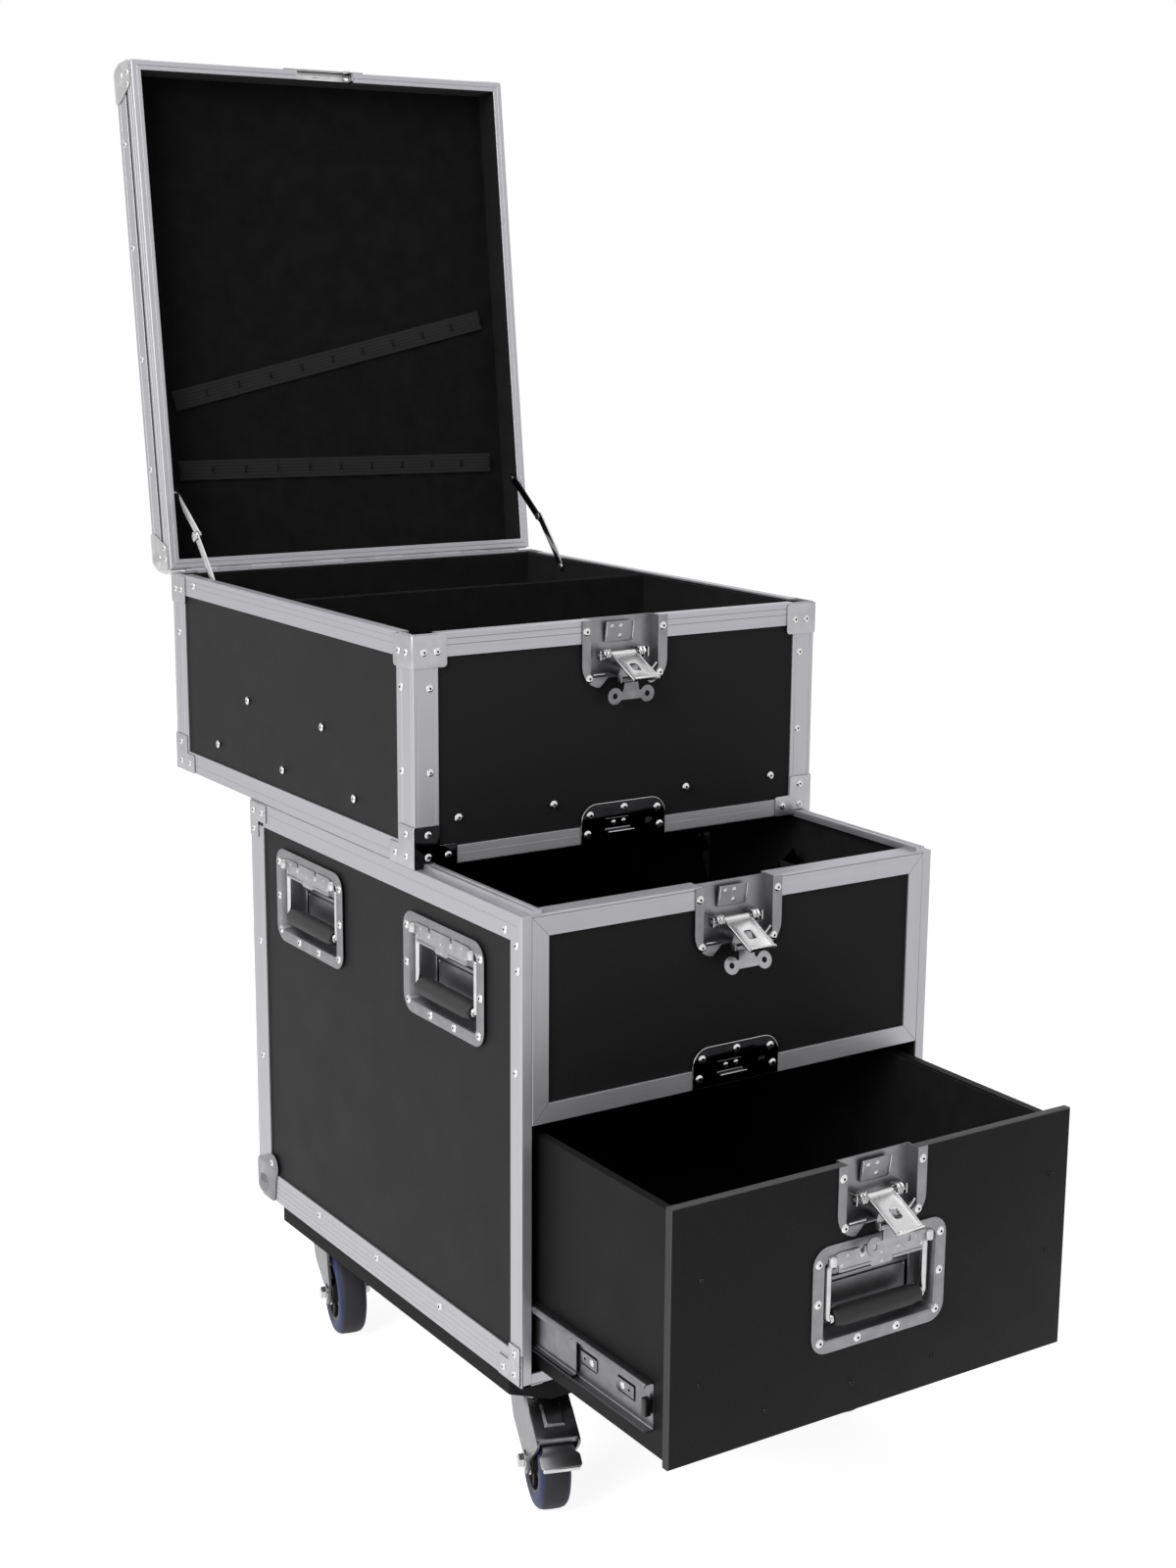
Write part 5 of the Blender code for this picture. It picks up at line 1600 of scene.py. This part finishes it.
def linings():
    """The felt of every compartment, cut away round the latches and handles, with pads over the handles."""
    ply, shelf, lid_panel = 9.6, 277.6, 41.9
    inside = HALF - ply
    base_cuts = [((-46, 0, BASE_HEIGHT - 64), (46, 20, BASE_HEIGHT + 10))]
    for side_name, side in (("left", -1), ("right", 1)):
        face = side * HALF
        for end, (y, z) in HANDLE_SPOTS:
            base_cuts.append(((face - 32, y - 68, 335), (face + 32, y + 68, 421)))
            low_x, high_x = sorted((face - side * 27.9, face - side * 29.5))
            pad = eased_block((low_x, y - 69, z - 42), (high_x, y + 69, z + 42), 0.7)
            settle(pad, "felt_handle_cover_%s_%s" % (side_name, end), CASE, "base", FELT)
    lining("felt_base_bay", (-inside, ply, shelf), (inside, DEPTH - ply, BASE_HEIGHT - 3), CASE, "base",
           base_cuts)
    floor, top = TOP_FOOT + 13.2, TOP_RIM - 4.5
    latch = ((-46, 0, TOP_RIM - 64), (46, 20, TOP_RIM + 10))
    lining("felt_top_front_bay", (-inside, ply, floor), (inside, 316, top), TOP, "top_case", [latch])
    lining("felt_top_rear_bay", (-inside, 324, floor), (inside, DEPTH - ply, top), TOP, "top_case")
    lining("felt_lid", (-inside, LID_FRONT + ply, LID_FOOT + 4.5), (inside, LID_BACK - ply, lid_panel), LID,
           "lid", [((-40, LID_FRONT, -10), (40, LID_FRONT + 15, 13))], -1)
    lining("felt_drawer", (-218.6, 18.6, 21.3), (218.6, 550.6, 252), DRAWER, "drawer",
           [((-46, 0, 200), (46, 30, 300)), ((-70, 0, 94), (70, 30, 180))])


def divider():
    """The felt-covered divider, with its top edge rolled over."""
    span = HALF - 10.8
    high = TOP_RIM - 25
    board = block((-span, 316.4, TOP_FOOT + 14.4), (span, 323.6, high))
    open_up(board)
    choose("edges", lambda p, w: abs(w.x) > 0.9 and p.z > high - NEAR)
    ease(3.2, 5)
    choose("edges", lambda p, w: abs(w.z) > 0.9)
    ease(1)
    put_down()
    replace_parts(settle(board, "felt_covered_divider", TOP, "top_case", FELT), "top_divider")


def band(name, start, end):
    """A flat elastic band sewn to the lid's felt. start and end are (x, distance from the hinge)."""
    run = Vector(end) - Vector(start)
    x, back = (Vector(start) + Vector(end)) / 2
    stitches = round(run.length / 43)
    length, width = run.length * MM, 24 * MM
    bpy.ops.object.select_all(action="DESELECT")
    bpy.ops.mesh.primitive_grid_add(x_subdivisions=stitches * 6, y_subdivisions=4, size=1)
    strap = bpy.context.object
    strap.scale = (length, width, 1)
    bpy.ops.object.transform_apply()
    chart = strap.data.uv_layers[0]
    for corner in strap.data.loops:
        chart.data[corner.index].uv = strap.data.vertices[corner.vertex_index].co.xy
    for vert in strap.data.vertices:
        lift = abs(math.sin(math.pi * (vert.co.x / length + 0.5) * stitches)) ** 0.7
        vert.co.z = -1.9 * MM * lift * (1 - 0.25 * (2 * vert.co.y / width) ** 2)
    strap.data.flip_normals()
    wall(strap, 1)
    place = LID @ at(x, LID_BACK - back, 39.8) @ Matrix.Rotation(math.atan2(-run.y, run.x), 4, "Z")
    threads = []
    for number in range(stitches + 1):
        spot = (number / stitches - 0.5) * run.length
        for lean in (-62, 62):
            thread = eased_block((-5.5, -0.5, -0.55), (5.5, 0.5, 0.35), 0.3, 1)
            threads.append(moved(thread, at(spot, 0, -0.3) @ turn_about("Z", lean)))
    settle(joined(threads), name + "_stitches", place, "lid", FELT)
    settle(strap, name, place, "lid", BAND)


def panel_finishes():
    """Gives the CAD nodes that stay on show their finish. The drawer box takes the darker film ply, as
    painted shade.
    """
    for finish, nodes in (
        (FILM_PLY, ("base_left_panel", "base_right_panel", "base_back_panel", "base_floor", "base_shelf",
                    "base_front_panel", "top_case_box", "lid_panel")),
        (SHADED_FILM_PLY, ("drawer_box",)),
        (BOARD_PLY, ("castor_board",)),
        (ZINC, ("hinge_case_leaf", "hinge_lid_leaf")),
    ):
        for node in nodes:
            for place in frame["nodes"][node].material_slots:
                place.material = finish


# Studio

def studio():
    """The photograph's camera, a white sweep and soft lamps."""
    target = bpy.data.cameras.new("photo_camera")
    target.lens = 51.99
    target.sensor_width = 36
    camera = bpy.data.objects.new("photo_camera", target)
    bpy.context.collection.objects.link(camera)
    ahead = Vector((0.53503, 0.81785, -0.21183)).normalized()
    right = ahead.cross(Z).normalized()
    tilt = math.radians(0.404)
    level_right = right * math.cos(tilt) + right.cross(ahead) * math.sin(tilt)
    pose = Matrix((level_right, level_right.cross(ahead), -ahead)).transposed().to_4x4()
    pose.translation = (-1.3035, -2.0457, 1.1915)
    camera.matrix_world = pose
    bpy.context.scene.camera = camera

    bpy.ops.object.select_all(action="DESELECT")
    bpy.ops.mesh.primitive_plane_add(size=14)
    floor = bpy.context.object
    floor.name = "studio_floor"
    floor.data.materials.append(pale_floor())
    white_world()
    lamp("key_lamp", (-2.6, -0.8, 2.2), size=2.2, watts=80)
    lamp("fill_lamp", (1.6, -2.8, 1.8), size=2.0, watts=3)
    lamp("top_lamp", (0.2, 0.3, 3.3), size=2.4, watts=14)
    bpy.context.scene.view_settings.view_transform = "Standard"


def lamp(name, point, size, watts):
    """A large soft square lamp aimed at the middle of the case."""
    light = bpy.data.lights.new(name, "AREA")
    light.size = size
    light.energy = watts
    made = bpy.data.objects.new(name, light)
    bpy.context.collection.objects.link(made)
    aim = Vector((0, 0, 0.7)) - Vector(point)
    made.matrix_world = Matrix.Translation(point) @ aim.to_track_quat("-Z", "Y").to_matrix().to_4x4()


def white_where_seen(tree, plain, white, kind):
    """Ends a shader: white where the camera sees it straight, in metal or through glass, and else plain."""
    path = add(tree, "LightPath", {}).outputs
    glossy, through = path["Is Glossy Ray"], path["Is Transmission Ray"]
    mirror = add(tree, "Math", {0: glossy, 1: through}, operation="MAXIMUM")
    seen = add(tree, "Math", {0: path["Is Camera Ray"], 1: mirror}, operation="MAXIMUM")
    add(tree, kind, {"Surface": add(tree, "MixShader", {0: seen, 1: plain, 2: white})})


def pale_floor():
    """A matt white sweep. It is lifted to white where it is seen directly, and keeps the shadows."""
    finish = bpy.data.materials.new("matt_white_sweep")
    finish.use_nodes = True
    tree = finish.node_tree
    tree.nodes.clear()
    plain = add(tree, "BsdfDiffuse", {"Color": paint("#e8e8e8")})
    part = add(tree, "BsdfDiffuse", {"Color": paint("#dcdcdc")})
    glow = add(tree, "Emission", {"Color": (1, 1, 1, 1), "Strength": 0.9})
    white_where_seen(tree, plain, add(tree, "AddShader", {0: part, 1: glow}), "OutputMaterial")
    return finish


def white_world():
    world = bpy.data.worlds.new("white_surround")
    bpy.context.scene.world = world
    world.use_nodes = True
    tree = world.node_tree
    tree.nodes.clear()
    soft = add(tree, "Background", {"Color": (1, 1, 1, 1), "Strength": 0.17})
    white = add(tree, "Background", {"Color": (1, 1, 1, 1), "Strength": 1})
    white_where_seen(tree, soft, white, "OutputWorld")


base_rails()
front_strips()
top_case_rails()
lid_rails()
brackets()
handles()
latches()
keepers()
castors()
slides()
drawer_face()
stays()
linings()
divider()
band("elastic_band_slanted", (-213, 200), (220, 296.5))
band("elastic_band_level", (-212.5, 117.5), (222, 113))
panel_finishes()
panel_rivets()
make_rivets()
studio()

for model in [*MODELS, POP_RIVET]:
    bpy.data.objects.remove(model)
